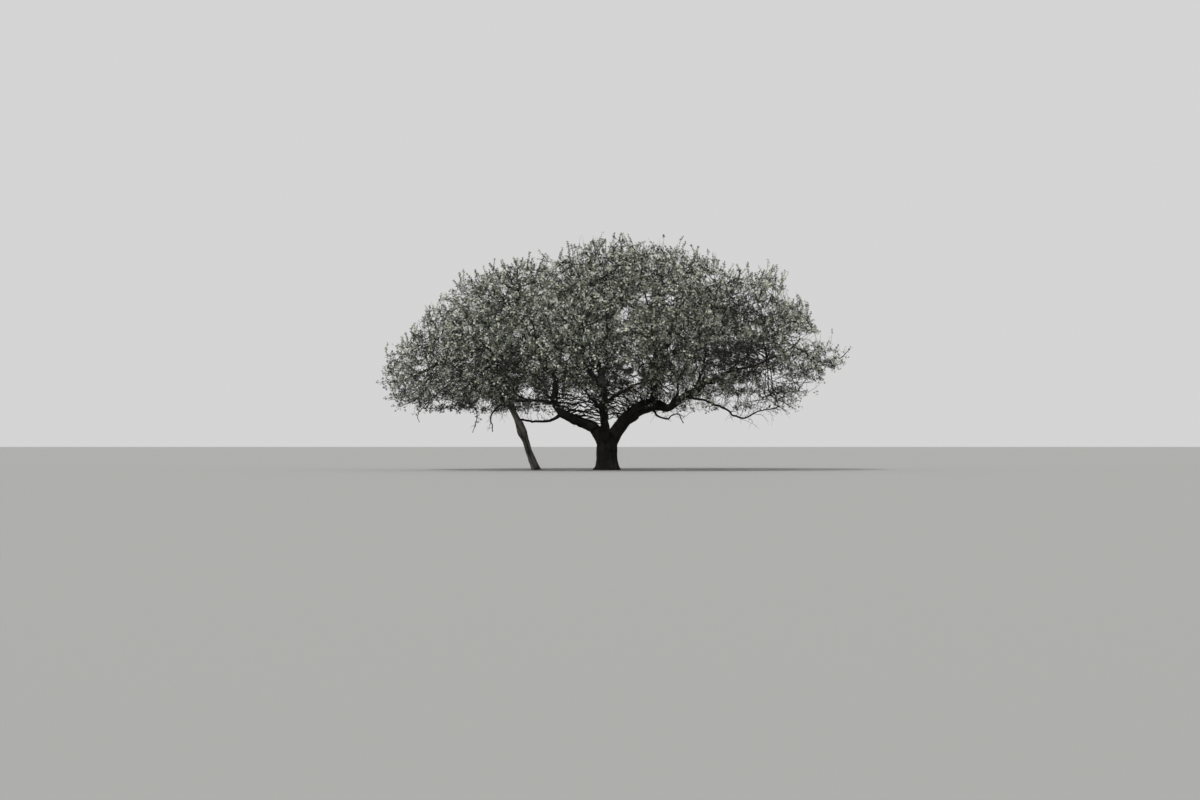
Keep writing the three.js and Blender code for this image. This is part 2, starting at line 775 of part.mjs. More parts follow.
// One mass: its stem goes on from the bough's tip through the middle of its space, and twigs and leaves are fused on.
const STEM_RADIUS_SHARE = 0.98;
const STEM_TIP_RADIUS = 36;
function massSolid(mass, bough) {
  const tip = bough.curve.getPointAt(1);
  const run = bough.curve.getTangentAt(1);
  const start = tip.clone().addScaledVector(run, CLEARANCE);
  const onward = mass.centre.clone().sub(start).normalize().addScaledVector(UP, 0.35).normalize();
  const end = mass.centre.clone().addScaledVector(onward, 0.35 * reachInside(mass, mass.centre, onward));
  const radius = bough.radiusAt(1) * STEM_RADIUS_SHARE;
  const knee = start.clone().addScaledVector(run, 0.3 * start.distanceTo(mass.centre));
  const stem = limbThrough(
    [
      [...start.toArray(), radius],
      [...knee.toArray(), radius],
      [...mass.centre.toArray(), STEM_TIP_RADIUS],
      [...end.toArray(), STEM_TIP_RADIUS],
    ],
    { sides: 5, steps: 3 },
  );
  const stemPart = boxed(solidOf(limbGeometry(stem)));
  const arms = armsOf(mass, stem);
  const leaves = leavesOf(mass, [stemPart], arms);
  const carrying = arms.map((arm) => arm.solid);
  const parts = [stemPart.solid, ...carrying, ...leaves.map((leaf) => leaf.solid)];
  for (const { stations } of LONG_SHOOTS.filter((shoot) => shoot.mass === mass.name)) {
    const from = [...mass.centre.toArray(), STEM_TIP_RADIUS];
    parts.push(solidOf(limbGeometry(limbThrough([from, ...stations], { sides: 3, steps: 6 }))));
  }
  return largestOf(wasm.Manifold.union(parts));
}

// Long bare shoots that stand out past the foliage, at the furthest tips.
const LONG_SHOOTS = [
  {
    mass: "rim_1",
    stations: [
      [5600, 60, 2790, 22],
      [6050, 80, 2880, 18],
      [6440, 90, 3170, 11],
    ],
  },
  {
    mass: "rim_7",
    stations: [
      [-5300, -760, 2350, 20],
      [-5890, -800, 2215, 11],
    ],
  },
];

// The space of each limb, grown a little, that twigs and leaves stay out of.
const LIMB_GROWN = 4;
const limbSpaces = pieces.map(({ name, solid }) => {
  const limb = limbs.get(name);
  return boxed(limb ? solidOf(limbGeometry(limb, limb.from ?? 0, 1, LIMB_GROWN)) : solid);
});

const feeders = [...limbs.entries()].filter(([, limb]) => limb.feeds);
for (const [, limb] of feeders) {
  const mass = massNamed(limb.feeds);
  pieces.push({ name: `foliage_${mass.name}`, solid: massSolid(mass, limb), material: FOLIAGE });
}

const tree = new THREE.Group();
tree.name = "acacia_tree";
for (const { name, solid, material } of pieces) tree.add(meshOf(name, solid, material));

export default tree;
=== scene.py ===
"""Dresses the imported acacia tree: bark on every limb, finer and finer twigs, and leaves in sprays.

The foliage grows by the rule that placed the solid masses, carried on to branchlets, shoots and leaves inside
the same spaces. Places are in millimetres until a mesh is made. +Z is up, +Y goes away from the side shown.
"""

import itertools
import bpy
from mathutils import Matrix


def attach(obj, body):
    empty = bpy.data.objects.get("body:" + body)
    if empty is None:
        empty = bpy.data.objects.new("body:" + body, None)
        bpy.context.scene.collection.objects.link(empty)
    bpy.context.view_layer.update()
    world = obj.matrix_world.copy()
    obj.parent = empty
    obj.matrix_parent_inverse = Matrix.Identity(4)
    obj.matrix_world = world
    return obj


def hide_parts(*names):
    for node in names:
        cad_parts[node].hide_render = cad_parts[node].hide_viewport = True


bl_info = {
    "name": "Acacia Tree Dressing",
    "version": (1, 0, 0),
    "blender": (4, 5, 0),
    "location": "3D View > Sidebar > Acacia",
    "description": "Grows bark, twigs and leaves round the packed acacia tree",
    "category": "Add Mesh",
}

import bmesh
import bpy
import numpy as np

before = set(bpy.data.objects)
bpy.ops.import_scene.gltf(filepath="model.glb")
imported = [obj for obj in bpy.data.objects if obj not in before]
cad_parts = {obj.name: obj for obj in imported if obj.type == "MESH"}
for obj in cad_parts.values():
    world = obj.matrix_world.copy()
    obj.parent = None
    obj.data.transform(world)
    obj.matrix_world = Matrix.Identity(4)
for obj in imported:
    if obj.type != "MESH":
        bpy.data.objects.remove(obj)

MM = 0.001
UP = np.array((0.0, 0.0, 1.0))
X_AXIS = np.array((1.0, 0.0, 0.0))

# The crown's envelope, as the solids have it.
CROWN_TOP = 6110
SPREAD_RIGHT = 6160
SPREAD_LEFT = 5860
SPREAD_DEPTH = 5000
RIM_HEIGHT = 2660
DOME_RIGHT = 0.5
DOME_LEFT = 0.8
UNDERSIDE = 1490
UNDERSIDE_RISE = 500
HOLLOW_REACH = 0.46
EDGE_LEFT = 24
EDGE_RIGHT = 8
# Swells of the dome: middle across, width and rise.
SWELLS = (
    (-3800, 480, 200), (-1450, 560, -360), (1200, 380, -150), (3200, 600, -380), (4450, 420, 260),
    (5500, 420, -300),
)
SWELL_DEPTH = 3200

# Tiers of masses: how many, how far out, the first bearing, height between underside and dome, half-widths.
TIERS = (
    ("rim", 11, 0.77, 0, 0.47, 1750, 1850),
    ("shoulder", 7, 0.47, 10, 0.74, 1850, 1500),
    ("top", 3, 0.17, 90, 0.78, 1600, 1250),
    ("inner", 5, 0.36, 20, 0.27, 1300, 950),
)
CELL_GAP = 25
SEED = 629
FULLNESS = 3
FINE_FULLNESS = 7  # twigs and leaves fill the corners of a space further than the solids do
ENTRY_SHARE = 0.72
MARCH_STEP = 20.0
MARCH_STEPS = 299
CLEARANCE = 0.3
EVEN_STEP = np.array((0.8191725133961645, 0.6710436067037893, 0.5497004779019703))

# Boughs that the side shown gives: the mass that each feeds, its thickness there, and its stations.
HEAD_RUN = 430
HEAD_BOUGHS = {
    "left_bough": ("shoulder_4", 42, (
        (-60, 0, 640, 165), (-290, -10, 1000, 150), (-600, -40, 1215, 126), (-900, -70, 1320, 116),
        (-1190, -80, 1480, 105), (-1350, -60, 1730, 90), (-1355, 40, 2350, 74),
    )),
    "right_bough": ("rim_1", 42, (
        (60, 0, 640, 185), (245, 0, 1010, 172), (480, 20, 1300, 170), (930, 60, 1622, 172),
        (1250, 70, 1690, 150), (1600, 40, 1632, 106), (2130, 0, 1990, 78),
    )),
    "centre_bough": ("top_1", 42, (
        (-20, 10, 700, 110), (-85, 0, 1000, 86), (-105, 0, 1480, 78), (-165, 20, 2050, 70),
    )),
    "back_bough": ("rim_4", 40, (
        (0, 90, 640, 120), (-40, 330, 1040, 96), (-70, 900, 1520, 82), (-90, 1700, 1960, 68),
    )),
    "front_bough": ("rim_9", 40, (
        (0, -90, 640, 115), (-60, -330, 1060, 92), (-90, -900, 1560, 78), (-60, -1700, 1960, 64),
    )),
}
HEAD_STEPS = 14
HEAD_OVERLAP = 110  # how far a head bough's own skin starts inside the trunk's
BELOW_GROUND = (0, 0, -60, 352)
TRUNK_COLUMN = ((0, 0, 0, 340), (0, 0, 110, 292), (-8, 0, 300, 266), (-2, 0, 600, 272), (6, 0, 900, 222))
SECOND_BELOW_GROUND = (-1822, 380, -70, 132)
SECOND_STEM = (
    (-1850, 380, 0, 125), (-1895, 380, 120, 104), (-2045, 375, 500, 88), (-2125, 366, 760, 85),
    (-2205, 360, 950, 120), (-2268, 352, 1150, 106), (-2350, 340, 1330, 80), (-2520, 320, 1620, 68),
    (-2900, 330, 2020, 60),
)
SECOND_FEEDS = "rim_6"
SECOND_TIP = 40
# Side limbs: parent, the point near which each starts, thickness there, the mass that it feeds, its stations.
SIDE_LIMBS = {
    "right_riser": (
        "right_bough", (1230, 70, 1690), 92, "top_3", ((1225, 90, 2200, 74), (1290, 110, 3250, 62)),
    ),
    "left_low_bough": (
        "left_bough", (-1360, -60, 1730), 76, "rim_7", ((-1700, -190, 1790, 60), (-2350, -480, 1800, 52)),
    ),
    "right_low_bough": ("right_bough", (2050, 10, 1900), 58, "rim_11", (
        (2420, -170, 1810, 46), (3030, -430, 1580, 42), (3270, -540, 1400, 40), (3560, -680, 1330, 38),
        (3760, -780, 1470, 36), (4340, -1060, 1590, 33),
    )),
}
SIDE_TIP = 36
# Boughs by rule: the mass that each feeds, its parent, and the share of the parent's length where it starts.
RULED_BOUGHS = (
    ("rim_2", "right_bough", 0.56), ("rim_3", "back_bough", 0.44), ("rim_5", "second_stem", 0.5),
    ("rim_8", "left_low_bough", 0.3), ("rim_10", "front_bough", 0.42), ("shoulder_1", "right_bough", 0.66),
    ("shoulder_2", "right_riser", 0.42), ("shoulder_3", "back_bough", 0.56),
    ("shoulder_5", "left_bough", 0.62), ("shoulder_6", "front_bough", 0.55),
    ("shoulder_7", "right_riser", 0.3), ("top_2", "centre_bough", 0.42), ("inner_1", "right_bough", 0.48),
    ("inner_2", "back_bough", 0.34), ("inner_3", "left_bough", 0.33), ("inner_4", "front_bough", 0.33),
    ("inner_5", "right_bough", 0.36),
)
ROOT_SHARE = 0.62
MOST_ROOT = 62
BOUGH_TIP_RADIUS = 38
# Limbs drawn finer or stouter than their solids, and how much thinner each gets inside the foliage.
SLENDER = {
    "right_low_bough": 0.62, "left_low_bough": 0.6, "left_bough": 1.02, "centre_bough": 1.04,
    "bough_rim_10": 0.5,
}
CROWN_TAPER = 0.4
TAPER_FROM = 0.42
TAPER_RUN = 0.45
CROOK = 22.0  # how far limbs stray from their smooth curves
CROOKED = {"right_low_bough": 38.0, "cross_branch": 34.0, "dead_limb_right": 46.0, "dead_limb_left": 40.0}
CROOK_FADE = 260.0
LINE_POINTS = 401
LEAVE_WITH_PARENT = 0.45
ARRIVE_RISING = 0.55
BOW = 0.36
GNARL = 0.035
CROWN_FOOT = 1750  # height from which limbs are pushed about, fully so one GNARL_RISE higher
GNARL_RISE = 1100
CROSS_BRANCH = ((-1200, -80, 1440), (-1530, 60, 1265, 33), (-1850, 200, 1245, 30), (-2380, 340, 1310))
CROSS_ROOT = 40
CROSS_TIP = 24
DEAD_ROOT = 28
# Bare dead limbs under the crown, in the form of the side limbs. They feed no mass.
DEAD_LIMBS = {
    "dead_limb_right": ("right_bough", (1130, 70, 1670), DEAD_ROOT, None, (
        (1330, -20, 1370, 22), (1570, -60, 1290, 18), (1800, -60, 1450, 15), (1990, -60, 1215, 12),
    )),
    "dead_limb_left": ("left_low_bough", (-2500, -500, 1830), DEAD_ROOT, None, (
        (-2900, -620, 1560, 24), (-2990, -640, 1280, 18), (-2950, -640, 990, 12),
    )),
}
# Long bare shoots that stand out past the foliage or hang under it, by the mass that carries them.
LONG_SHOOTS = {
    "rim_8": (
        ((-4150, -1500, 2100, 17), (-4700, -1250, 1620, 14), (-4860, -1180, 1400, 12),
         (-4800, -1150, 1230, 8)),
        ((-3600, -1500, 1900, 17), (-3330, -1300, 1500, 14), (-3340, -1290, 1260, 13),
         (-3440, -1280, 960, 9)),
    ),
    "inner_5": (
        ((1000, -1350, 2330, 10), (700, -1300, 2420, 8), (430, -1250, 2480, 5)),
        ((1080, -1300, 2500, 10), (800, -1200, 2580, 8), (520, -1150, 2600, 5)),
    ),
    "rim_11": (
        ((4150, -1500, 1950, 15), (4500, -1300, 1740, 11), (4850, -1150, 1560, 6)),
        ((4000, -1900, 1900, 14), (4250, -1800, 1700, 10), (4560, -1700, 1500, 6)),
    ),
    "rim_1": (((5600, 60, 2790, 22), (6050, 80, 2880, 18), (6440, 90, 3170, 11)),),
    "rim_7": (
        ((-5300, -760, 2350, 11), (-5890, -800, 2215, 6)),
        ((-4900, -950, 2050, 12), (-5380, -800, 1850, 8), (-5650, -740, 1800, 4)),
        ((-4800, -1100, 1900, 12), (-5200, -1000, 1680, 8), (-5420, -950, 1600, 4)),
    ),
    "rim_6": (
        ((-4900, 1000, 1950, 12), (-5280, 900, 1740, 8), (-5500, 860, 1640, 4)),
        ((-4950, 1100, 2150, 12), (-5500, 1000, 2000, 8), (-5750, 950, 1960, 4)),
    ),
}
LONG_SHOOT_POINTS = 24
SIDE_SHOOTS = slice(13, 22)  # the points of a long shoot that carry side shoots
SIDE_SHOOT_LENGTH = 230
LEAFY_ABOVE = 1200
STEM_TAPER = (1, 0.95, 0.8, 0.55)
STEM_POINTS = 14
ARMS = 5
ARMS_FROM = 0.15
ARMS_TO = 0.97
ARM_TILTS = (-35.0, 55.0)
ARM_REACH = 0.97
ARM_TIP = 5.0
LEAST_ARM = 300
GOLDEN_ANGLE = np.pi * (3 - np.sqrt(5))
TURN_BACK = 0.9  # how much a twig that turns back costs against one that goes on, when its parent is chosen

# Branchlets and shoots: where each kind starts in the run of evenly spread points, and how far at most the
# points are kept in from the outline.
FIRST_BRANCHLET_POINT = 5000
BRANCHLET_INSET = 300
FIRST_SHOOT_POINT = 20000
SHOOT_INSET = 260
FIRST_BRANCHLETS = 0.35  # share of the branchlets that leave the arms before the rest grow
BRANCHLET_ROOTS = (13.0, 10.0)
BRANCHLET_TIP = 4.0
SHOOT_ROOT = 5.0
SHOOT_TIP = 2.0
LEAST_SHOOT = 120
# The way that counts as grown before the stem, before the arms, and where shoots leave the arms.
STEM_GROWN = 900
ARMS_GROWN = 500
SHOOTS_GROWN = 100
SPIRES = 0.2  # share of the shoots under the dome that stand up out of it
RIM_FILL = 0.4  # how many more shoots grow at the front and back rims, where the crown is thin from above
INNER_THIN = 0.3  # share of the shoots that is left out deep inside the crown, where little light falls
LAYER_GAPS = 0.8  # share of the shoots that is left out between the layers of foliage on the right
LAYERS_FROM = 2700  # how far across the layers begin

# The viewer, straight in front of the trunk.
VIEW_DISTANCE = 73670
EYE_HEIGHT = 650

# Openings where the sky shows through the crown, seen from the front: middle across and up, half-width,
# half-height, and tilt in degrees.
OPENINGS = (
    (1350, 5970, 250, 170, 0), (2950, 5600, 330, 160, -20), (-600, 6020, 420, 160, 12),
    (-5480, 3720, 480, 290, 30), (936, 4472, 210, 130, 0), (520, 4082, 180, 120, 40),
    (1716, 4400, 190, 140, 0), (2700, 5020, 230, 110, 25), (4706, 4560, 330, 120, 10),
    (4888, 4680, 420, 110, -20), (5050, 3430, 430, 150, 2), (5590, 3450, 560, 120, 3),
    (4300, 2420, 470, 180, -12), (5330, 2220, 540, 135, -14), (3590, 2240, 230, 90, 0),
    (4030, 3000, 180, 110, 0), (2950, 1800, 260, 130, -10), (3850, 1790, 420, 170, 0),
    (-2320, 3530, 150, 110, 0), (-1040, 2900, 90, 70, 20), (-2100, 2060, 250, 140, 0),
    (1170, 2960, 110, 90, 0), (1680, 3160, 130, 110, 0), (300, 1860, 260, 140, 0),
    (1520, 1780, 270, 110, 10), (2340, 2450, 80, 80, 0), (1610, 2160, 150, 120, 0),
    (-4800, 2660, 210, 90, 0), (-700, 1780, 440, 210, -8), (-240, 1650, 160, 180, 0),
    (-5150, 1700, 170, 75, 0), (-4340, 1740, 300, 72, 0), (-3300, 1720, 240, 72, 0),
    (-500, 2560, 130, 100, 0),
)
SPECKLE = 0.8  # noise above which small gaps open low in the middle of the crown

# Parts of the crown with few leaves, where dark limbs and twigs show, seen from the front: middle across and
# up, half-width, half-height, and the share of the leaves that is left out.
SPARSE = (
    (-780, 1830, 600, 330, 0.85), (-1355, 2030, 190, 420, 0.93), (330, 1900, 500, 300, 0.7),
    (1300, 1930, 760, 300, 0.55), (-2080, 1900, 520, 260, 0.3), (3900, 1750, 1000, 300, 0.42),
    (2200, 2050, 700, 260, 0.4), (4900, 2500, 700, 500, 0.15),
)

# Parts of the crown whose sprays get mostly dark tints, as painted shade, seen from the front, in the same
# form.
SHADED = (
    (3500, 2950, 900, 420, 0.42), (350, 2400, 700, 300, 0.4), (-2450, 2700, 350, 550, 0.2),
    (3650, 4250, 600, 450, 0.3), (-4100, 1600, 1700, 170, 0.6), (-1500, 1900, 900, 300, 0.2),
)

# Bare twigs that hang or stand under the foliage: the limb that carries them, the shares of its length
# between which they start, how many, their way, length, thickness, rise at their ends, finer twigs on each.
FRINGES = (
    ("left_low_bough", 0.35, 0.9, 9, (-0.5, -0.1, -0.75), 520, 9, -0.5, 4),
    ("bough_rim_8", 0.4, 0.95, 6, (-0.6, -0.2, -0.7), 460, 8, -0.5, 4),
    ("second_stem", 0.62, 0.95, 8, (-0.6, 0.1, -0.55), 480, 8, -0.3, 4),
    ("bough_rim_5", 0.3, 0.95, 6, (-0.5, 0.3, -0.6), 450, 8, -0.4, 4),
    ("right_bough", 0.33, 0.5, 7, (0.75, -0.1, -0.45), 480, 8, -0.2, 4),
    ("right_bough", 0.5, 0.8, 9, (0.8, 0.0, -0.4), 520, 8, -0.4, 4),
    ("right_low_bough", 0.12, 0.95, 16, (0.35, 0.0, 0.85), 460, 8, 0.5, 4),
    ("right_low_bough", 0.3, 0.9, 8, (0.6, -0.1, -0.35), 380, 7, -0.4, 3),
    ("dead_limb_right", 0.2, 1.0, 6, (0.75, -0.1, 0.1), 330, 7, -0.3, 3),
    ("dead_limb_left", 0.3, 0.95, 5, (-0.5, -0.1, -0.5), 300, 6, -0.5, 2),
    ("cross_branch", 0.15, 0.9, 7, (-0.4, 0.1, 0.7), 300, 6, 0.3, 3),
    ("centre_bough", 0.14, 0.4, 10, (-0.95, 0.0, 0.35), 820, 22, -0.25, 5),
    ("centre_bough", 0.14, 0.4, 10, (0.9, 0.0, 0.4), 700, 20, -0.2, 6),
    ("left_bough", 0.28, 0.5, 9, (0.9, 0.05, 0.15), 720, 18, 0.05, 5),
    ("right_bough", 0.13, 0.33, 14, (-0.35, 0.0, 0.9), 640, 20, 0.3, 7),
    ("right_bough", 0.22, 0.44, 16, (0.2, 0.0, 0.9), 560, 20, 0.3, 8),
    ("left_bough", 0.2, 0.32, 6, (-0.5, 0.0, 0.75), 380, 8, 0.3, 4),
    ("front_bough", 0.2, 0.5, 8, (0.2, -0.4, 0.7), 420, 8, 0.3, 4),
    ("back_bough", 0.2, 0.5, 8, (-0.2, 0.4, 0.7), 420, 8, 0.3, 4),
)
# Thin strands that run between two limbs over the fork: the limbs, the shares of each between which they
# start and end, how many, and how deep they sag.
STRANDS = (
    ("left_bough", (0.3, 0.52), "centre_bough", (0.12, 0.32), 7, 20),
    ("left_bough", (0.26, 0.42), "centre_bough", (0.16, 0.3), 4, -80),
    ("centre_bough", (0.2, 0.4), "right_bough", (0.2, 0.33), 7, -40),
    ("right_bough", (0.33, 0.4), "right_riser", (0.1, 0.3), 3, 20),
)

# Pieces of foliage, with the masses that each stands for.
GROUPS = {
    "rim_right": ("rim_1", "rim_2"),
    "rim_back_right": ("rim_3", "rim_4"),
    "rim_back_left": ("rim_5", "rim_6"),
    "rim_front_left": ("rim_7", "rim_8"),
    "rim_front_right": ("rim_9", "rim_10", "rim_11"),
    "shoulder_right": ("shoulder_1", "shoulder_2", "shoulder_7"),
    "shoulder_left": ("shoulder_3", "shoulder_4", "shoulder_5", "shoulder_6"),
    "top": ("top_1", "top_2", "top_3"),
    "inner": ("inner_1", "inner_2", "inner_3", "inner_4", "inner_5"),
}

# Bark, the trunk's rough tubes, leaves and the stage.
PLATE_WIDTH = 46
FURROW_LENGTH = 430
CHECK_LENGTH = 70
WINDING_LENGTH = 170
GRAIN_LENGTH = 30
FULL_DEPTH_RADIUS = 250
TRUNK_RINGS = 60
TRUNK_SIDES = 48
COLUMN_GIRTH_RADIUS = 240
LEAF_PAIRS = ((0.3, 0.52, 58), (0.64, 0.46, 48))  # where each pair leaves the stalk, its length and its slant
# Leaf tints go by a draw raised by painted shade, so sprays low down, deep inside the crown and in the SHADED
# parts pass the limits sooner and take darker tints.
TINTS = ("light", "middle", "dark", "dry")
DRY_ABOVE = 0.985
TINT_LIMITS = (0.21, 0.46, DRY_ABOVE)  # draws at which one tint of leaf gives way to the next
LEAF_LEAN = 0.5  # how far leaves lean along their shoot, and the same on upright shoots
UPRIGHT_LEAN = 1.1
UPRIGHT_SPACING = 0.62
UPRIGHT_LENGTH = 0.78
FLOOR_HALF = 900000
CAMERA_SHIFT = -182
CAMERA_PITCH = 90.91
LAMP_ANGLES = (32, -26, 0)

MATERIALS = {}
GROWN = {}


# Draws, noise and directions

def draw(n):
    """Repeatable draws between 0 and 1 for whole numbers, by mixing their bits twice."""
    mask = np.uint64(0xFFFFFFFF)
    half = np.uint64(16)
    h = np.asarray(n, dtype=np.int64).astype(np.uint64) & mask
    for _ in range(2):
        h = ((h ^ (h >> half)) * np.uint64(0x45D9F3B)) & mask
    return (h ^ (h >> half)) / 4294967296.0


def draws(shape, seed):
    """An array of draws, numbered on from a seed."""
    return draw(np.arange(int(np.prod(shape))).reshape(shape) + int(seed) * 7919)


def swings(shape, seed):
    """An array of draws between -0.5 and 0.5."""
    return draws(shape, seed) - 0.5


def even_points(first, count):
    """Evenly spread points in a unit cube: each a fixed step on from the last, wrapped into the cube."""
    k = np.arange(first, first + count)[:, None]
    return (0.5 + k * EVEN_STEP) % 1


def soft_noise(places, size, seed):
    """Noise from 0 to 1: draws at the corners of a lattice of the given size, blended by smooth steps."""
    at = places / size
    low = np.floor(at).astype(np.int64)
    step = smooth(at - low)
    total = 0
    for corner in itertools.product((0, 1), repeat=3):
        cell = low + np.array(corner)
        number = cell[..., 0] * 73856093 ^ cell[..., 1] * 19349663 ^ cell[..., 2] * 83492791 ^ seed
        total = total + draw(number) * np.prod(np.where(corner, step, 1 - step), axis=-1)
    return total


def noise_vectors(places, size, seed):
    """Vectors of three noises from -0.5 to 0.5."""
    return np.stack([soft_noise(places, size, seed + axis) for axis in range(3)], axis=-1) - 0.5


def ring_noise(turn, along, columns, seed):
    """Noise from 0 to 1 on a limb's skin: draws on a lattice that closes round the limb, blended by smooth
    steps. turn is the share of the way round, and along counts rows of the lattice."""
    across = np.asarray(turn) * columns + 0 * along
    along = along + 0 * across
    column = np.floor(across).astype(np.int64)
    row = np.floor(along).astype(np.int64)
    u = smooth(across - column)
    v = smooth(along - row)
    total = 0
    for i, j in itertools.product((0, 1), repeat=2):
        number = ((column + i) % columns) * 73856093 ^ (row + j) * 19349663 ^ seed
        total = total + draw(number) * np.where(i, u, 1 - u) * np.where(j, v, 1 - v)
    return total


def smooth(x):
    """The smooth step: 0 up to 0, 1 from 1 on, and an S between."""
    x = np.clip(x, 0, 1)
    return x * x * (3 - 2 * x)


def between(low, high, share):
    """A value a share of the way from low to high."""
    return low + (high - low) * share


def unit(v):
    """Vectors of the same direction and length 1."""
    return v / np.maximum(np.linalg.norm(v, axis=-1, keepdims=True), 1e-9)


def square_to(run):
    """Unit vectors square to directions, and level unless a direction is nearly upright."""
    return unit(np.cross(run, np.where(np.abs(run[..., 2:]) > 0.9, X_AXIS, UP)))


def square_part(v, run):
    """Unit vectors along the part of v that is square to unit directions."""
    return unit(v - np.sum(v * run, axis=-1, keepdims=True) * run)


def turned(side, other, angle):
    """Unit directions turned by an angle from side towards other, which is square to it."""
    return np.cos(angle) * side + np.sin(angle) * other


def ring_ways(side, other, sides):
    """Unit directions evenly all round a line, from two that are square to it."""
    angle = 2 * np.pi * np.arange(sides) / sides
    return turned(side[..., None, :], other[..., None, :], angle[:, None])


def line_lengths(lines):
    """Distance from the first point of each line to each of its points."""
    steps = np.linalg.norm(np.diff(lines, axis=-2), axis=-1)
    return np.concatenate((np.zeros((*steps.shape[:-1], 1)), np.cumsum(steps, axis=-1)), axis=-1)


def runs_along(lines):
    """Unit directions at the points of lines."""
    return unit(np.gradient(lines, axis=-2))


def stacked(parts):
    """Parts that are each a row of arrays, joined array by array."""
    return [np.concatenate(column) for column in zip(*parts)]


# The crown's envelope and masses

def spread_share(x, y):
    """How far out a place is, as a share of the oval spread."""
    return np.hypot(x / np.where(x < 0, SPREAD_LEFT, SPREAD_RIGHT), y / SPREAD_DEPTH)


def dome_height(x, y):
    """Top of the crown: it falls from the middle to the rim with a power of the share left, plus bell-shaped
    swells."""
    share = np.minimum(1, spread_share(x, y))
    fall = (1 - share * share) ** np.where(x < 0, DOME_LEFT, DOME_RIGHT)
    height = RIM_HEIGHT + (CROWN_TOP - RIM_HEIGHT) * fall
    for middle, width, rise in SWELLS:
        height = height + rise * np.exp(-(((x - middle) / width) ** 2) - (y / SWELL_DEPTH) ** 2)
    return height


def underside_height(x, y):
    """Underside of the crown: level, hollow over the fork, and rising steeply at the rim."""
    share = np.minimum(1, spread_share(x, y))
    hollow = UNDERSIDE_RISE * np.maximum(0, 1 - (share / HOLLOW_REACH) ** 2)
    return UNDERSIDE + hollow + (RIM_HEIGHT - UNDERSIDE) * share ** np.where(x < 0, EDGE_LEFT, EDGE_RIGHT)


class Mass:
    """One mass of foliage: its middle, the half-widths of its space, and the walls towards its neighbours."""

    def __init__(self, name, wide, tall, centre, seed):
        self.name = name
        self.half = np.array((wide, wide, tall), float)
        self.centre = centre
        self.seed = seed
        self.towards = np.zeros((0, 3))
        self.limits = np.zeros(0)

    def support(self, direction):
        """How far the mass's ellipsoid reaches along a unit direction."""
        return float(np.linalg.norm(direction * self.half))

    def holds(self, p, fullness=FULLNESS):
        """True inside the rounded space, the walls, and the envelope between underside and dome."""
        d = np.abs(p - self.centre)
        flat = (np.hypot(d[..., 0], d[..., 1]) / self.half[0]) ** fullness
        rounded = flat + (d[..., 2] / self.half[2]) ** fullness < 1
        walled = np.all(p @ self.towards.T < self.limits, axis=-1)
        x, y, z = p[..., 0], p[..., 1], p[..., 2]
        under_dome = (spread_share(x, y) < 1) & (z < dome_height(x, y)) & (z > underside_height(x, y))
        return rounded & walled & under_dome

    def reach(self, start, towards):
        """How far the space goes from a place along a direction, in whole steps."""
        steps = np.arange(1, MARCH_STEPS + 1) * MARCH_STEP
        held = self.holds(start + steps[:, None] * towards)
        return MARCH_STEP * (MARCH_STEPS if held.all() else int(np.argmin(held)))

    def entry(self, start):
        """Where a limb that comes from a place enters: part of the way from the middle to the edge."""
        towards = unit(start - self.centre)
        return self.centre + towards * self.reach(self.centre, towards) * ENTRY_SHARE


def mass_list():
    """The masses stand round their tiers. A wall stands between two where both are as far from it for their
    size."""
    masses = []
    for tier, count, reach, first, level, wide, tall in TIERS:
        for i in range(count):
            bearing = np.radians(first + 360 * i / count)
            x = reach * (SPREAD_LEFT if np.cos(bearing) < 0 else SPREAD_RIGHT) * np.cos(bearing)
            y = reach * SPREAD_DEPTH * np.sin(bearing)
            z = underside_height(x, y) * (1 - level) + dome_height(x, y) * level
            seed = SEED + 1000 * (len(masses) + 1)
            masses.append(Mass(f"{tier}_{i + 1}", wide, tall, np.array((x, y, float(z))), seed))
    for a in masses:
        walls = []
        for b in masses:
            gap = float(np.linalg.norm(b.centre - a.centre))
            way = unit(b.centre - a.centre)
            reaches = a.support(way) + b.support(way)
            if a is not b and gap <= reaches:
                walls.append((way, way @ a.centre + gap * a.support(way) / reaches - CELL_GAP))
        a.towards, a.limits = (np.array(column) for column in zip(*walls))
    return {mass.name: mass for mass in masses}


# Limbs

def centripetal(points, t):
    """Places on the centripetal Catmull-Rom curve through points, for t from 0 to 1: in each span a cubic
    between its points, whose end slopes come from differences over the square roots of the distances."""
    padded = np.vstack((2 * points[0] - points[1], points, 2 * points[-1] - points[-2]))
    place = np.clip(t, 0, 1) * (len(points) - 1)
    span = np.minimum(place.astype(int), len(points) - 2)
    w = (place - span)[:, None]
    p = [padded[span + i] for i in range(4)]
    d0, d1, d2 = (np.sqrt(np.linalg.norm(b - a, axis=1))[:, None] for a, b in zip(p, p[1:]))
    p0, p1, p2, p3 = p
    t1 = ((p1 - p0) / d0 - (p2 - p0) / (d0 + d1) + (p2 - p1) / d1) * d1
    t2 = ((p2 - p1) / d1 - (p3 - p1) / (d1 + d2) + (p3 - p2) / d2) * d1
    return p1 + t1 * w + (3 * (p2 - p1) - 2 * t1 - t2) * w**2 + (2 * (p1 - p2) + t1 + t2) * w**3


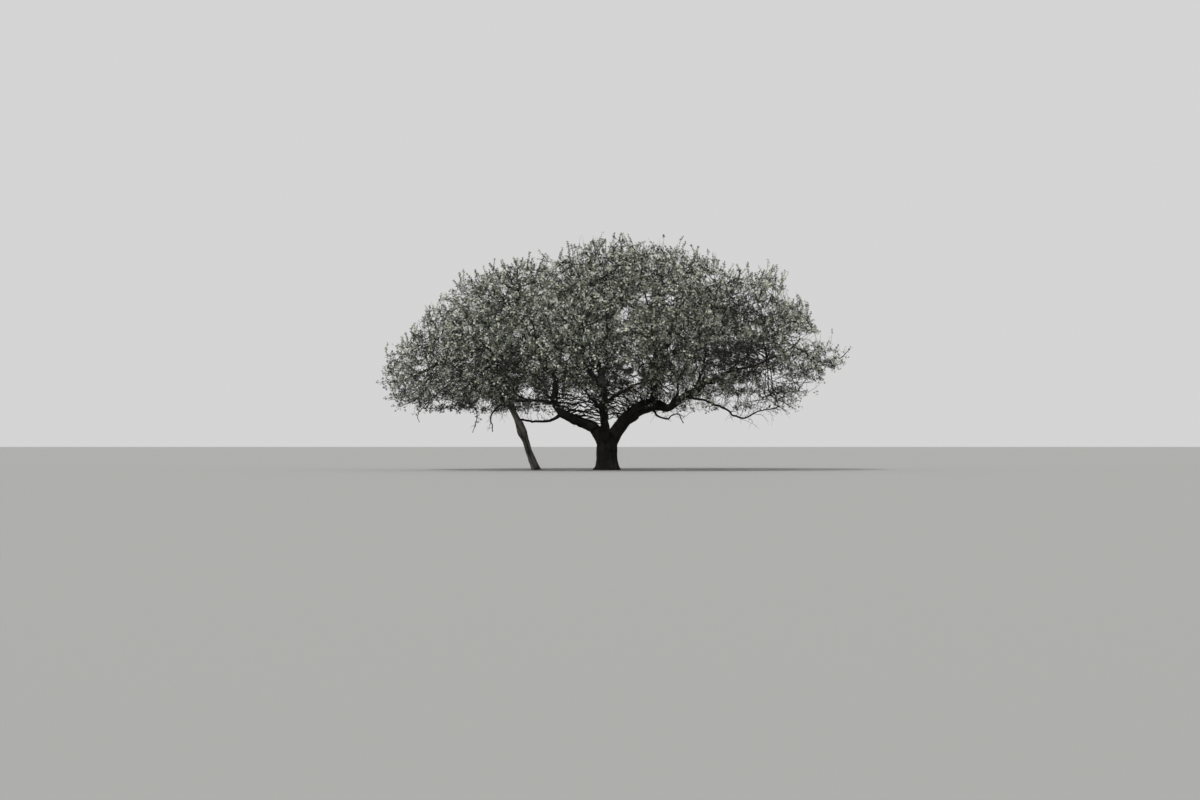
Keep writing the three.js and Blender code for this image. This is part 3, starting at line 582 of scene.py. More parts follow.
class Limb:
    """A limb from stations (x, y, z, radius): its middle line is walked by share of its length. It keeps the
    name of the mass that it feeds, the radius of what it grows from, how far it strays from its smooth curve,
    and the share of its length up to which it is part of the trunk."""

    def __init__(self, stations, feeds=None, parent_radius=0.0, crook=0.0):
        stations = np.array(stations, float)
        self.points = stations[:, :3]
        self.radii = stations[:, 3]
        self.feeds = feeds
        self.parent_radius = parent_radius
        self.crook = crook
        self.start = 0.0
        self.grid = np.linspace(0, 1, LINE_POINTS)
        line = centripetal(self.points, self.grid)
        self.gone = line_lengths(line)
        self.length = self.gone[-1]
        chords = line_lengths(self.points)
        self.chords = chords / chords[-1]
        self.flat = np.linalg.svd(line - line.mean(axis=0), full_matrices=False)[2][2]

    def at(self, share):
        """Places at shares of the length, pushed off the smooth curve by a noise that fades at both ends."""
        along = np.atleast_1d(share) * self.length
        place = centripetal(self.points, np.interp(along, self.gone, self.grid))
        if self.crook:
            lattice = along[:, None] * X_AXIS
            push = 2 * noise_vectors(lattice, 260.0, 83) + 0.8 * noise_vectors(lattice, 110.0, 83)
            fade = smooth(along / CROOK_FADE) * smooth((self.length - along) / CROOK_FADE)
            place = place + self.crook * fade[:, None] * push
        return place

    def run(self, share):
        """Unit directions of the middle line at shares of the length."""
        share = np.atleast_1d(share)
        step = 4 / self.length
        return unit(self.at(np.minimum(share + step, 1)) - self.at(np.maximum(share - step, 0)))

    def radius(self, share):
        """Radii at shares of the length, carried between stations."""
        return np.interp(share, self.chords, self.radii)

    def spot(self, share):
        """Place, direction and radius at one share of the length."""
        return self.at(share)[0], self.run(share)[0], float(self.radius(share))

    def square(self, share):
        """Two unit directions square to the middle line, from the normal of the plane that fits it best."""
        run = self.run(share)
        side = square_part(self.flat, run)
        return side, np.cross(run, side)

    def nearest(self, place):
        """The share of the length that comes nearest to a place."""
        return float(self.grid[np.argmin(np.linalg.norm(self.at(self.grid) - place, axis=1))])


def slender(name, share, feeds):
    """Share of a limb's thickness that its skin has, less inside the foliage for limbs that go on into it."""
    thinner = CROWN_TAPER * smooth((share - TAPER_FROM) / TAPER_RUN) if feeds else 0 * share
    return SLENDER.get(name, 1.0) * (1 - thinner)


def onwards(stations, mass, tip_radius):
    """Stations carried on to a mass: a raised middle, then the place where the limb enters."""
    last = np.array(stations[-1][:3], float)
    entry = mass.entry(last)
    middle = (last + entry) / 2 + UP * 0.05 * np.linalg.norm(entry - last)
    return [*stations, (*middle, between(stations[-1][3], tip_radius, 0.55)), (*entry, tip_radius)]


def bowed(start, run, goal, rise, count):
    """Lines along cubic Bezier curves, one or many: each leaves between its parent's run and its own way,
    bows, and comes in with the given rise. Gives the lines, their spans, and shares along them."""
    span = np.linalg.norm(goal - start, axis=-1, keepdims=True)
    way = (goal - start) / np.maximum(span, 1e-6)
    leave = unit(run * LEAVE_WITH_PARENT + way)
    arrive = unit(way + UP * rise)
    t = np.linspace(0, 1, count)[:, None]
    knees = start + leave * span * BOW, goal - arrive * span * BOW
    a, b, c, d = (p[..., None, :] for p in (start, *knees, goal))
    return (1 - t) ** 3 * a + 3 * (1 - t) ** 2 * t * b + 3 * (1 - t) * t**2 * c + t**3 * d, span, t


def ruled_stations(start, parent_run, goal, root_radius, seed):
    """A bough by rule: it bows, wanders between its ends and comes in rising."""
    places, span, share = bowed(start, parent_run, goal, ARRIVE_RISING, 6)
    wander = draw(seed + 3 * np.arange(1, 5)[:, None] + np.arange(3)) - 0.5
    places[1:5] += wander * 2 * GNARL * span
    return np.column_stack((places, between(root_radius, BOUGH_TIP_RADIUS, share**0.8)))


def all_limbs(masses):
    """Every limb by name. Their order gives the seeds of their bark."""
    limbs = {}

    def add(name, stations, feeds=None, parent_radius=0.0):
        """Adds a limb from its stations."""
        limb = Limb(stations, feeds, parent_radius, CROOKED.get(name, CROOK))
        limb.radii = limb.radii * slender(name, limb.chords, feeds)
        limbs[name] = limb

    def add_from(name, parent, near, root_radius, feeds, stations):
        """Adds a limb that leaves its parent at the place nearest to a given one."""
        place, _, radius = limbs[parent].spot(limbs[parent].nearest(near))
        stations = [(*place, root_radius), *stations]
        add(name, onwards(stations, masses[feeds], SIDE_TIP) if feeds else stations, feeds, radius)

    for name, (feeds, tip, stations) in HEAD_BOUGHS.items():
        add(name, onwards(stations, masses[feeds], tip), feeds)
        limbs[name].start = np.ceil(HEAD_RUN / limbs[name].length * HEAD_STEPS) / HEAD_STEPS
    add("second_stem", onwards(SECOND_STEM, masses[SECOND_FEEDS], SECOND_TIP), SECOND_FEEDS)
    for name, values in SIDE_LIMBS.items():
        add_from(name, *values)
    for number, (feeds, parent, share) in enumerate(RULED_BOUGHS, 1):
        place, run, radius = limbs[parent].spot(share)
        root = min(MOST_ROOT, ROOT_SHARE * radius)
        stations = ruled_stations(place, run, masses[feeds].entry(place), root, 100 * number)
        add(f"bough_{feeds}", stations, feeds, radius)
    first, *middle, last = CROSS_BRANCH
    start, _, radius = limbs["left_bough"].spot(limbs["left_bough"].nearest(first))
    end = limbs["second_stem"].at(limbs["second_stem"].nearest(last))[0]
    add("cross_branch", [(*start, CROSS_ROOT), *middle, (*end, CROSS_TIP)], None, radius)
    for name, values in DEAD_LIMBS.items():
        add_from(name, *values)
    return limbs


# Meshes

def put_object(name, data):
    """An object at the origin, linked to the scene."""
    piece = bpy.data.objects.new(name, data)
    bpy.context.scene.collection.objects.link(piece)
    return piece


def store_relief(mesh, relief):
    """Keeps the bark's relief on a mesh, for its material."""
    layer = mesh.attributes.new("relief", "FLOAT", "POINT")
    layer.data.foreach_set("value", relief.ravel().astype(np.float32))


def put_mesh(name, places, faces, materials, face_materials=None, relief=None, shade_smooth=True):
    """A mesh object at the origin, from places in millimetres and groups of faces of one size each."""
    mesh = bpy.data.meshes.new(name)
    places = np.ascontiguousarray(places.reshape(-1, 3) * MM, dtype=np.float32)
    sizes = np.concatenate([np.full(len(group), group.shape[1]) for group in faces])
    corners = np.concatenate([group.ravel() for group in faces]).astype(np.int32)
    mesh.vertices.add(len(places))
    mesh.vertices.foreach_set("co", places.ravel())
    mesh.loops.add(len(corners))
    mesh.loops.foreach_set("vertex_index", corners)
    mesh.polygons.add(len(sizes))
    mesh.polygons.foreach_set("loop_start", (np.cumsum(sizes) - sizes).astype(np.int32))
    mesh.update(calc_edges=True)
    mesh.polygons.foreach_set("use_smooth", np.full(len(sizes), shade_smooth))
    for material in materials:
        mesh.materials.append(material)
    if face_materials is not None:
        mesh.polygons.foreach_set("material_index", face_materials.astype(np.int32))
    if relief is not None:
        store_relief(mesh, relief)
    mesh.validate()
    return put_object(name, mesh)


def tube_faces(tubes, rings, sides):
    """Faces of closed tubes whose points run tube by tube, ring by ring: quads between rings, and lids."""
    first = (np.arange(tubes) * rings * sides)[:, None, None]
    ring = np.arange(rings - 1)[None, :, None] * sides
    a = np.arange(sides)[None, None, :]
    b = (a + 1) % sides
    low = first + ring
    quads = np.stack((low + a, low + b, low + sides + b, low + sides + a), axis=-1).reshape(-1, 4)
    root = first[:, 0] + np.arange(sides)[::-1]
    tip = first[:, 0] + (rings - 1) * sides + np.arange(sides)
    return quads, np.concatenate((root, tip))


def thin_tubes(lines, radii, sides):
    """Points of many thin tubes: rings round each line, held to one direction across its chord."""
    run = runs_along(lines)
    side = square_part(square_to(unit(lines[:, -1] - lines[:, 0]))[:, None], run)
    return lines[:, :, None] + ring_ways(side, np.cross(run, side), sides) * radii[:, :, None, None]


def tube_piece(name, tubes, material, seed):
    """One mesh of closed tubes, given as (lines, radii, sides), with an even relief drawn tube by tube."""
    places, quads, lids, relief = [], [], {}, []
    first = 0
    for lines, radii, sides in tubes:
        points = thin_tubes(gnarled(lines), radii, sides)
        between_rings, ends = tube_faces(len(lines), lines.shape[1], sides)
        places.append(points.reshape(-1, 3))
        quads.append(between_rings + first)
        lids.setdefault(sides, []).append(ends + first)
        tone = draws(len(lines), seed + first)[:, None, None] * 0.5 + 0.25
        relief.append(np.broadcast_to(tone, points.shape[:3]).ravel())
        first += points[..., 0].size
    faces = [np.concatenate(group) for group in (quads, *lids.values())]
    return put_mesh(name, np.concatenate(places), faces, [material], relief=np.concatenate(relief))


def bark_relief(turn, along, girth, seed):
    """Height of the bark, 0 in a crack and 1 on a plate. Furrows wind along the limb where a long-drawn noise
    passes its middle value, shallower checks cross them where a short one does, and a fine noise roughens the
    plates."""
    columns = max(4, int(round(girth / PLATE_WIDTH)))
    shift = 0.9 * ring_noise(turn, along / WINDING_LENGTH, max(3, columns // 3), seed + 11)
    furrows = np.abs(2 * ring_noise(turn, along / FURROW_LENGTH + shift, columns, seed) - 1) / 0.36
    checks = np.abs(2 * ring_noise(turn, along / CHECK_LENGTH + shift, columns, seed + 5) - 1) / 0.2 + 0.45
    plate = smooth(np.minimum(furrows, checks))
    fine = ring_noise(turn, along / GRAIN_LENGTH, columns * 3, seed + 9)
    return np.clip(0.78 * plate + 0.22 * fine, 0, 1)


def bark_depth(radius, depth):
    """How deep the cracks go: with the square root of the limb's thickness, up to the trunk's depth."""
    return depth * np.sqrt(np.clip(radius / FULL_DEPTH_RADIUS, 0.02, 1))


def limb_skin(limb, sides, depth, seed):
    """Points and relief of a limb: rings square to its middle line, at its radius times a slow swelling, a
    collar that fades from its root, and the bark's relief. A head bough is drawn in inside the trunk."""
    start = limb.start - HEAD_OVERLAP / limb.length if limb.start else 0.0
    ring_step = float(np.clip(limb.radii.max() / 6, 10, 15))
    share = np.linspace(start, 1, max(6, int(round((1 - start) * limb.length / ring_step)) + 1))
    along = (share * limb.length)[:, None]
    turn = np.arange(sides)[None, :] / sides
    radius = limb.radius(share)[:, None]
    relief = bark_relief(turn, along, 2 * np.pi * float(radius.mean()), seed)
    swell = 0.2 * (ring_noise(turn, along / 300, 3, seed + 3) - 0.5)
    swell = swell + 0.1 * (ring_noise(turn, along / 90, 4, seed + 4) - 0.5)
    collar = 0.55 if limb.parent_radius else 0.0
    flare = 1 + collar * np.exp(-along / (1.5 * limb.parent_radius + 1))
    size = radius * flare * (1 + swell) + (relief - 0.6) * bark_depth(radius, depth)
    if limb.start:
        size = size * (1 - 0.1 * smooth(1 - (along - start * limb.length) / 70))
    ways = ring_ways(*limb.square(share), sides)
    return gnarled(limb.at(share))[:, None] + ways * size[..., None], relief


def cut_at_ground(piece):
    """Cuts a mesh off at ground level and closes the cut with flat faces."""
    shape = bmesh.new()
    shape.from_mesh(piece.data)
    whole = shape.verts[:] + shape.edges[:] + shape.faces[:]
    bmesh.ops.bisect_plane(shape, geom=whole, plane_co=(0, 0, 0), plane_no=(0, 0, 1), clear_inner=True)
    rim = [edge for edge in shape.edges if edge.is_boundary]
    filled = bmesh.ops.edgeloop_fill(shape, edges=rim)["faces"]
    bmesh.ops.triangulate(shape, faces=filled)
    bmesh.ops.recalc_face_normals(shape, faces=shape.faces[:])
    shape.to_mesh(piece.data)
    shape.free()


# Trunk

def rough_trunk(parts):
    """Closed tubes that overlap: the column, whose radius is lobed, most so at the ground, and the first run
    of each head bough, drawn in a little at its end."""
    places = []
    for limb, end in parts:
        share = np.linspace(0.0, end, TRUNK_RINGS)
        radius = limb.radius(share)[:, None] * np.ones(TRUNK_SIDES)
        if limb is parts[0][0]:
            angle = 2 * np.pi * np.arange(TRUNK_SIDES) / TRUNK_SIDES
            lobes = 0.16 * np.cos(5 * angle + 0.6) + 0.06 * np.cos(3 * angle + 2.0)
            radius = radius * (1 + np.exp(-np.maximum(limb.at(share)[:, 2:], 0) / 190) * lobes)
        else:
            radius = radius * (1 - 0.12 * smooth((share - end) * limb.length / 60 + 1))[:, None]
        ways = ring_ways(*limb.square(share), TRUNK_SIDES)
        places.append(limb.at(share)[:, None] + ways * radius[..., None])
    return put_mesh("trunk_rough", np.stack(places), tube_faces(len(parts), TRUNK_RINGS, TRUNK_SIDES), [])


def melted(rough, voxel):
    """A mesh of even faces round the outside of a rough piece, which is removed."""
    remesh = rough.modifiers.new("Melt", "REMESH")
    remesh.mode = "VOXEL"
    remesh.voxel_size = voxel
    rough.modifiers.new("Even", "SMOOTH").iterations = 8
    mesh = bpy.data.meshes.new_from_object(rough.evaluated_get(bpy.context.evaluated_depsgraph_get()))
    bpy.data.objects.remove(rough)
    return mesh


def read_vectors(rows, key):
    """Vectors of a mesh's rows, one to a line."""
    values = np.empty(3 * len(rows), np.float32)
    rows.foreach_get(key, values)
    return values.reshape(-1, 3)


def roughen_trunk(mesh, parts, depth):
    """Moves a trunk's skin along its normals by the bark's relief and slow lumps, less towards the ground.
    The relief is a mean over the limbs, each weighted by how near a place lies to that limb's skin."""
    spots = read_vectors(mesh.vertices, "co") / MM
    relief, weight, cracks = np.zeros((3, len(spots)))
    for number, (limb, end) in enumerate(parts):
        share = np.linspace(0.0, end, 200)
        line = limb.at(share)
        nearest = np.argmin(np.linalg.norm(spots[:, None] - line[None], axis=-1), axis=1)
        off = spots - line[nearest]
        side, other = (way[nearest] for way in limb.square(share))
        turn = np.arctan2(np.sum(off * other, axis=1), np.sum(off * side, axis=1)) / (2 * np.pi)
        radius = limb.radius(share[nearest])
        mean_radius = COLUMN_GIRTH_RADIUS
        if number:
            mean_radius = float(limb.radius(np.linspace(limb.start, 1, 200)).mean())
        height = bark_relief(turn % 1, share[nearest] * limb.length, 2 * np.pi * mean_radius, 31 * number + 7)
        near = np.exp(-np.abs(np.linalg.norm(off, axis=1) - radius) / 12) + 1e-6
        relief += height * near
        cracks += bark_depth(radius, depth) * near
        weight += near
    relief = relief / weight
    lumps = 14 * (soft_noise(spots, 150.0, 5) - 0.5)
    shift = ((relief - 0.6) * cracks / weight + lumps) * smooth(spots[:, 2] / 40)
    spots = spots + read_vectors(mesh.vertex_normals, "vector") * shift[:, None]
    spots[:, 2] = np.maximum(spots[:, 2], 0)
    mesh.vertices.foreach_set("co", (spots * MM).astype(np.float32).ravel())
    store_relief(mesh, relief)


# Finishes

def feed(tree, node, inputs):
    """Sets a node's inputs to values, or links them to other nodes' outputs."""
    for label, value in inputs.items():
        if isinstance(value, bpy.types.NodeSocket):
            tree.links.new(value, node.inputs[label])
        else:
            node.inputs[label].default_value = value


def add_node(tree, kind, inputs=None, **settings):
    """A shader node with its settings and inputs."""
    node = tree.nodes.new(f"ShaderNode{kind}")
    for name, value in settings.items():
        setattr(node, name, value)
    feed(tree, node, inputs or {})
    return node


def mix_colour(tree, factor, low, high):
    """The output of a node that blends two colours."""
    return add_node(tree, "Mix", {0: factor, 6: low, 7: high}, data_type="RGBA").outputs[2]


def bark_tones():
    """Colours and roughness of bark from its relief: dark in cracks, lighter on plates, with grey weathered
    patches and a fine grain, whose height is given for a bump."""
    group = bpy.data.node_groups.new("Bark Tones", "ShaderNodeTree")
    sockets = {"Relief": "Float", "Place": "Vector"}
    sockets.update({f"{part} Colour": "Color" for part in ("Crack", "Plate", "Weathered")})
    for label, kind in sockets.items():
        group.interface.new_socket(label, in_out="INPUT", socket_type=f"NodeSocket{kind}")
    for label, kind in (("Colour", "Color"), ("Roughness", "Float"), ("Height", "Float")):
        group.interface.new_socket(label, in_out="OUTPUT", socket_type=f"NodeSocket{kind}")
    given = group.nodes.new("NodeGroupInput").outputs
    relief, place = given["Relief"], given["Place"]
    patches = add_node(group, "TexNoise", {"Vector": place, "Scale": 3.5, "Detail": 3}).outputs[0]
    grain = add_node(group, "TexNoise", {"Vector": place, "Scale": 90, "Detail": 4}).outputs[0]
    spread = add_node(group, "MapRange", {"Value": patches, "From Min": 0.48, "From Max": 0.7}).outputs[0]
    worn = add_node(group, "Math", {0: spread, 1: relief}, operation="MULTIPLY").outputs[0]
    lowered = add_node(group, "Math", {0: relief, 1: 0.25}, operation="SUBTRACT").outputs[0]
    height = add_node(group, "Math", {0: grain, 1: 0.5, 2: lowered}, operation="MULTIPLY_ADD").outputs[0]
    base = mix_colour(group, height, given["Crack Colour"], given["Plate Colour"])
    colour = mix_colour(group, worn, base, given["Weathered Colour"])
    dull = add_node(group, "MapRange", {"Value": relief, "To Min": 0.98, "To Max": 0.82}).outputs[0]
    feed(group, group.nodes.new("NodeGroupOutput"), {"Colour": colour, "Roughness": dull, "Height": height})
    return group


def new_material(name, inputs):
    """A material with its shader's inputs set."""
    material = bpy.data.materials.new(name)
    material.use_nodes = True
    feed(material.node_tree, material.node_tree.nodes["Principled BSDF"], inputs)
    return material


def plain_material(name, colour, roughness, gloss):
    """A material of one plain colour."""
    inputs = {"Base Color": (*colour, 1), "Roughness": roughness, "Specular IOR Level": gloss}
    return new_material(name, inputs)


def bark_material(name, tones, crack, plate, weathered, bump):
    """Bark: the tones of the shared group from the relief stored on the mesh, and a bump from its grain."""
    material = new_material(name, {"Specular IOR Level": 0.2})
    tree = material.node_tree
    inputs = {
        "Relief": add_node(tree, "Attribute", attribute_name="relief").outputs["Fac"],
        "Place": add_node(tree, "TexCoord").outputs["Object"],
        "Crack Colour": (*crack, 1),
        "Plate Colour": (*plate, 1),
        "Weathered Colour": (*weathered, 1),
    }
    group = add_node(tree, "Group", inputs, node_tree=tones).outputs
    rough = add_node(tree, "Bump", {"Strength": bump, "Distance": 0.004, "Height": group["Height"]})
    links = {"Base Color": group["Colour"], "Roughness": group["Roughness"]}
    feed(tree, tree.nodes["Principled BSDF"], {**links, "Normal": rough.outputs["Normal"]})
    return material


# Growth

def gnarled(p):
    """Places in the crown pushed about by two slow noises, so that limbs grow crooked and carry what grows on
    them along. Nothing moves below the foliage."""
    push = 300 * noise_vectors(p, 950.0, 61) + 120 * noise_vectors(p, 380.0, 71)
    return p + push * (1, 1, 0.5) * smooth((p[..., 2:] - CROWN_FOOT) / GNARL_RISE)


def tapered(root, tip, lines):
    """Radii along lines, from root to tip; the roots may differ."""
    share = np.linspace(0, 1, lines.shape[1])[None] ** 0.8
    root = np.broadcast_to(np.asarray(root, float), (len(lines),))[:, None]
    return between(root, tip, share)


def twig_lines(start, run, goal, rise, wander, count, seed):
    """Many twigs at once, each bowed as the boughs are, with points between the ends that wander by draws."""
    lines, span, t = bowed(start, run, goal, rise, count)
    shift = swings(lines.shape, seed) * 2 * wander * span[:, None]
    return lines + shift * np.sin(np.pi * t)


def starts_on(lines, first, last=None, before=0.0, weight=1.0):
    """Where twigs may leave lines, from one point of each to another: places, directions, and the way already
    grown, which is the way before the line and a weight times the way along it."""
    cut = slice(first, last)
    gone = before + weight * line_lengths(lines)[:, cut]
    return lines[:, cut].reshape(-1, 3), runs_along(lines)[:, cut].reshape(-1, 3), gone.ravel()


def joined(starts, tips, weight):
    """For each tip the start that costs least, as place, direction and way grown. The cost is the distance,
    more where the twig would turn back from its parent's run, and a share of the way already grown."""
    places, runs, gone = starts
    way = tips[:, None] - places[None]
    away = np.linalg.norm(way, axis=-1)
    forward = np.sum(way * runs[None], axis=-1) / np.maximum(away, 1)
    best = np.argmin(away * (1 + TURN_BACK * (1 - forward)) + weight * gone[None], axis=1)
    return [array[best] for array in starts]


def seen_from_front(p):
    """Where places appear in the plane of the trunk, seen from the front at eye height, once they have been
    pushed about as the limbs are."""
    p = gnarled(p)
    scale = VIEW_DISTANCE / (VIEW_DISTANCE + p[..., 1])
    return p[..., 0] * scale, EYE_HEIGHT + (p[..., 2] - EYE_HEIGHT) * scale


def share_in(parts, p):
    """The share that parts of the crown give to places, full inside each part and fading at its edge."""
    x, z = seen_from_front(p)
    share = np.zeros(x.shape)
    for middle_x, middle_z, wide, tall, most in parts:
        away = np.hypot((x - middle_x) / wide, (z - middle_z) / tall)
        share = np.maximum(share, most * smooth((1.25 - away) / 0.5))
    return share


def open_share(p):
    """0 in the middle of an opening where sky shows, 1 at its uneven edge and more outside, seen from the
    front. Small gaps open where a noise is high, less often away from the low middle of the crown."""
    x, z = seen_from_front(p)
    seen = np.stack((x, 0 * x, z), axis=-1)
    rarer = 0.3 * (1 - smooth((3000 - np.abs(x - 1300)) / 1300) * smooth((3900 - z) / 1200))
    nearest = 1 + (SPECKLE + rarer - soft_noise(seen, 150.0, 91)) / 0.1
    for middle_x, middle_z, wide, tall, tilt in OPENINGS:
        c, s = np.cos(np.radians(tilt)), np.sin(np.radians(tilt))
        u = ((x - middle_x) * c + (z - middle_z) * s) / wide
        v = ((z - middle_z) * c - (x - middle_x) * s) / tall
        nearest = np.minimum(nearest, np.hypot(u, v))
    return nearest + 1.1 * (soft_noise(seen, 120.0, 97) - 0.5)


def points_in(mass, per_cubic_metre, first, inset, deep_thin=0.0):
    """Evenly spread points in a mass's space, kept in from the crown's outline by a noise that roughens it.
    Some are left out between slanting layers on the right, and some deep inside the crown."""
    count = int(per_cubic_metre * 8 * np.prod(mass.half) * 1e-9)
    p = mass.centre + (2 * even_points(first + mass.seed, count) - 1) * mass.half
    p = p[mass.holds(p, FINE_FULLNESS)]
    x, y, z = p.T
    depth = inset * smooth(1.6 * soft_noise(p, 620.0, 41) - 0.35)
    room = dome_height(x, y) - z
    out = (1 - spread_share(x, y)) * SPREAD_DEPTH
    over = z - underside_height(x, y)
    fan = np.column_stack((x * 0.22, y * 0.08, z * 2400 / np.maximum(x, 1200)))
    layer = smooth((soft_noise(fan, 230.0, 47) - 0.45) / 0.2)
    sparse = LAYER_GAPS * smooth((x - LAYERS_FROM) / 2000) * layer * smooth((room - 50) / 600)
    sparse = np.maximum(sparse, deep_thin * smooth((room - 650) / 900))
    thinned = draws(len(p), mass.seed + first) < sparse
    return p[(room > depth) & (out > 0.6 * depth) & (over > 0.25 * depth) & ~thinned]


def mass_stem(mass, bough):
    """A mass's stem: it goes on from its bough's tip, through the middle of the mass and a little beyond."""
    tip, run, radius = bough.spot(1.0)
    start = tip + run * CLEARANCE
    knee = start + run * 0.3 * np.linalg.norm(start - mass.centre)
    onward = unit(unit(mass.centre - start) + UP * 0.35)
    end = mass.centre + onward * 0.35 * mass.reach(mass.centre, onward)
    places = (start - run * 30, knee, mass.centre, end)
    return Limb([(*place, 0.98 * radius * share) for place, share in zip(places, STEM_TAPER)])


def mass_arms(mass, stem):
    """Arms leave the stem in turn, each a golden angle round from the last and tilted further up. Gives their
    lines and radii."""
    arms = []
    for number, share in enumerate(np.linspace(0, 1, ARMS)):
        root, along, radius = stem.spot(between(ARMS_FROM, ARMS_TO, share))
        turn = GOLDEN_ANGLE * number + 2 * np.pi * float(draw(mass.seed))
        flat = square_to(along)
        flat = turned(flat, np.cross(along, flat), turn)
        way = turned(flat, along, np.radians(between(*ARM_TILTS, share)))
        length = ARM_REACH * mass.reach(root, way)
        if length >= LEAST_ARM:
            arms.append((root, way, root + way * length * 0.93, 0.62 * radius))
    roots, ways, goals, radii = (np.array(column) for column in zip(*arms))
    lines = twig_lines(roots, ways, goals, 0.25, 0.035, 12, mass.seed + 1)
    return lines, tapered(radii, ARM_TIP, lines)


def mass_branchlets(mass, starts, tips):
    """Branchlets: the first of them leave the stem and arms, and the rest leave those or each other."""
    early = draws(len(tips), mass.seed + 9) < FIRST_BRANCHLETS
    tubes = []
    for chosen, root in zip((early, ~early), BRANCHLET_ROOTS):
        places, runs, gone = joined(starts, tips[chosen], 0.1)
        lines = twig_lines(places, runs, tips[chosen], 0.35, 0.06, 7, mass.seed + 2)
        tubes.append((lines, tapered(root, BRANCHLET_TIP, lines), 3))
        starts = stacked((starts, starts_on(lines, 2, 6, gone[:, None])))
    return tubes


def shoot_goals(mass, tips):
    """Where shoots end: further out and, under the dome, higher or lower by a draw. Some become spires, which
    stand up out of the dome. Gives the goals, and which are spires."""
    lift = draws(len(tips), mass.seed + 3)
    dome = dome_height(tips[:, 0], tips[:, 1])
    room = dome - tips[:, 2]
    tall = smooth(1 - room / 380) * (190 * lift**3 - 150)
    outward = unit((tips - mass.centre) * (1, 1, 0.6))
    streaky = smooth((tips[:, 0] - LAYERS_FROM) / 1500) * smooth((3700 - tips[:, 2]) / 900)
    goals = tips + UP * tall[:, None] + outward * ((60 + 150 * streaky) * (1 - lift))[:, None]
    spire = (lift > 1 - SPIRES) & (room < 430)
    stand = dome[spire] - 110 + 280 * draws(spire.sum(), mass.seed + 8)
    goals[spire, 2] = np.minimum(stand, CROWN_TOP)
    return goals, spire


def long_shoots(mass, leafing):
    """The long shoots that a mass carries, with short leafy side shoots. Gives tubes, and leaves."""
    tubes, leaves = [], []
    for stations in LONG_SHOOTS.get(mass.name, ()):
        shoot = Limb([(*mass.centre, 1.2 * stations[0][3]), *stations])
        along = np.linspace(0, 1, LONG_SHOOT_POINTS)
        line = shoot.at(along)
        knots, runs = line[SIDE_SHOOTS], shoot.run(along)[SIDE_SHOOTS]
        ways = unit(swings(knots.shape, mass.seed + 5) * 1.2 + runs * 0.7)
        lines = twig_lines(knots, runs, knots + ways * SIDE_SHOOT_LENGTH, 0.3, 0.08, 4, mass.seed + 6)
        tubes.append((line[None], shoot.radius(along)[None] * 0.8, 6))
        tubes.append((lines, tapered(4.5, 1.8, lines), 3))
        leaves.append(leaves_on(lines[knots[:, 2] > LEAFY_ABOVE], mass.seed + 40, leafing))
    return tubes, leaves


def grow_mass(mass, bough, twigs, leafing):
    """One mass: a stem, arms, branchlets that go from them to evenly spread points, and leafy shoots that go
    from the branchlets to more of them. Gives tubes as (lines, radii, sides), and leaves."""
    stem = mass_stem(mass, bough)
    shares = np.linspace(0, 1, STEM_POINTS)
    stem_line = stem.at(shares)[None]
    arm_lines, arm_radii = mass_arms(mass, stem)
    starts = stacked((starts_on(stem_line, 2, 11, STEM_GROWN), starts_on(arm_lines, 1, None, ARMS_GROWN)))
    tips = points_in(mass, twigs.branchlets, FIRST_BRANCHLET_POINT, BRANCHLET_INSET)
    branchlets = mass_branchlets(mass, starts, tips)
    tubes = [(stem_line, stem.radius(shares)[None], 8), (arm_lines, arm_radii, 6), *branchlets]

    lines = np.concatenate([tube[0] for tube in branchlets])
    starts = stacked((starts_on(lines, 2), starts_on(arm_lines, 5, None, SHOOTS_GROWN, 0)))
    fill = 1 + RIM_FILL * float(smooth((abs(mass.centre[1]) - 1500) / 1500))
    tips = points_in(mass, fill * twigs.shoots, FIRST_SHOOT_POINT, SHOOT_INSET, INNER_THIN)
    tips = tips[open_share(tips) > 1]
    goals, spire = shoot_goals(mass, tips)
    places, runs, _ = joined(starts, tips, 0.2)
    near = np.linalg.norm(goals - places, axis=1) > LEAST_SHOOT
    long_tubes, leaves = long_shoots(mass, leafing)
    shoot_leaves = []
    for upright, rise, seed in ((False, 0.5, mass.seed + 4), (True, 1.3, mass.seed + 14)):
        chosen = near & (spire == upright)
        lines = twig_lines(places[chosen], runs[chosen], goals[chosen], rise, 0.1, 3, seed)
        tubes.append((lines, tapered(SHOOT_ROOT, SHOOT_TIP, lines), 3))
        shoot_leaves.append(leaves_on(lines, seed + 5, leafing, upright))
    return [*tubes, *long_tubes], stacked([*shoot_leaves, *leaves])


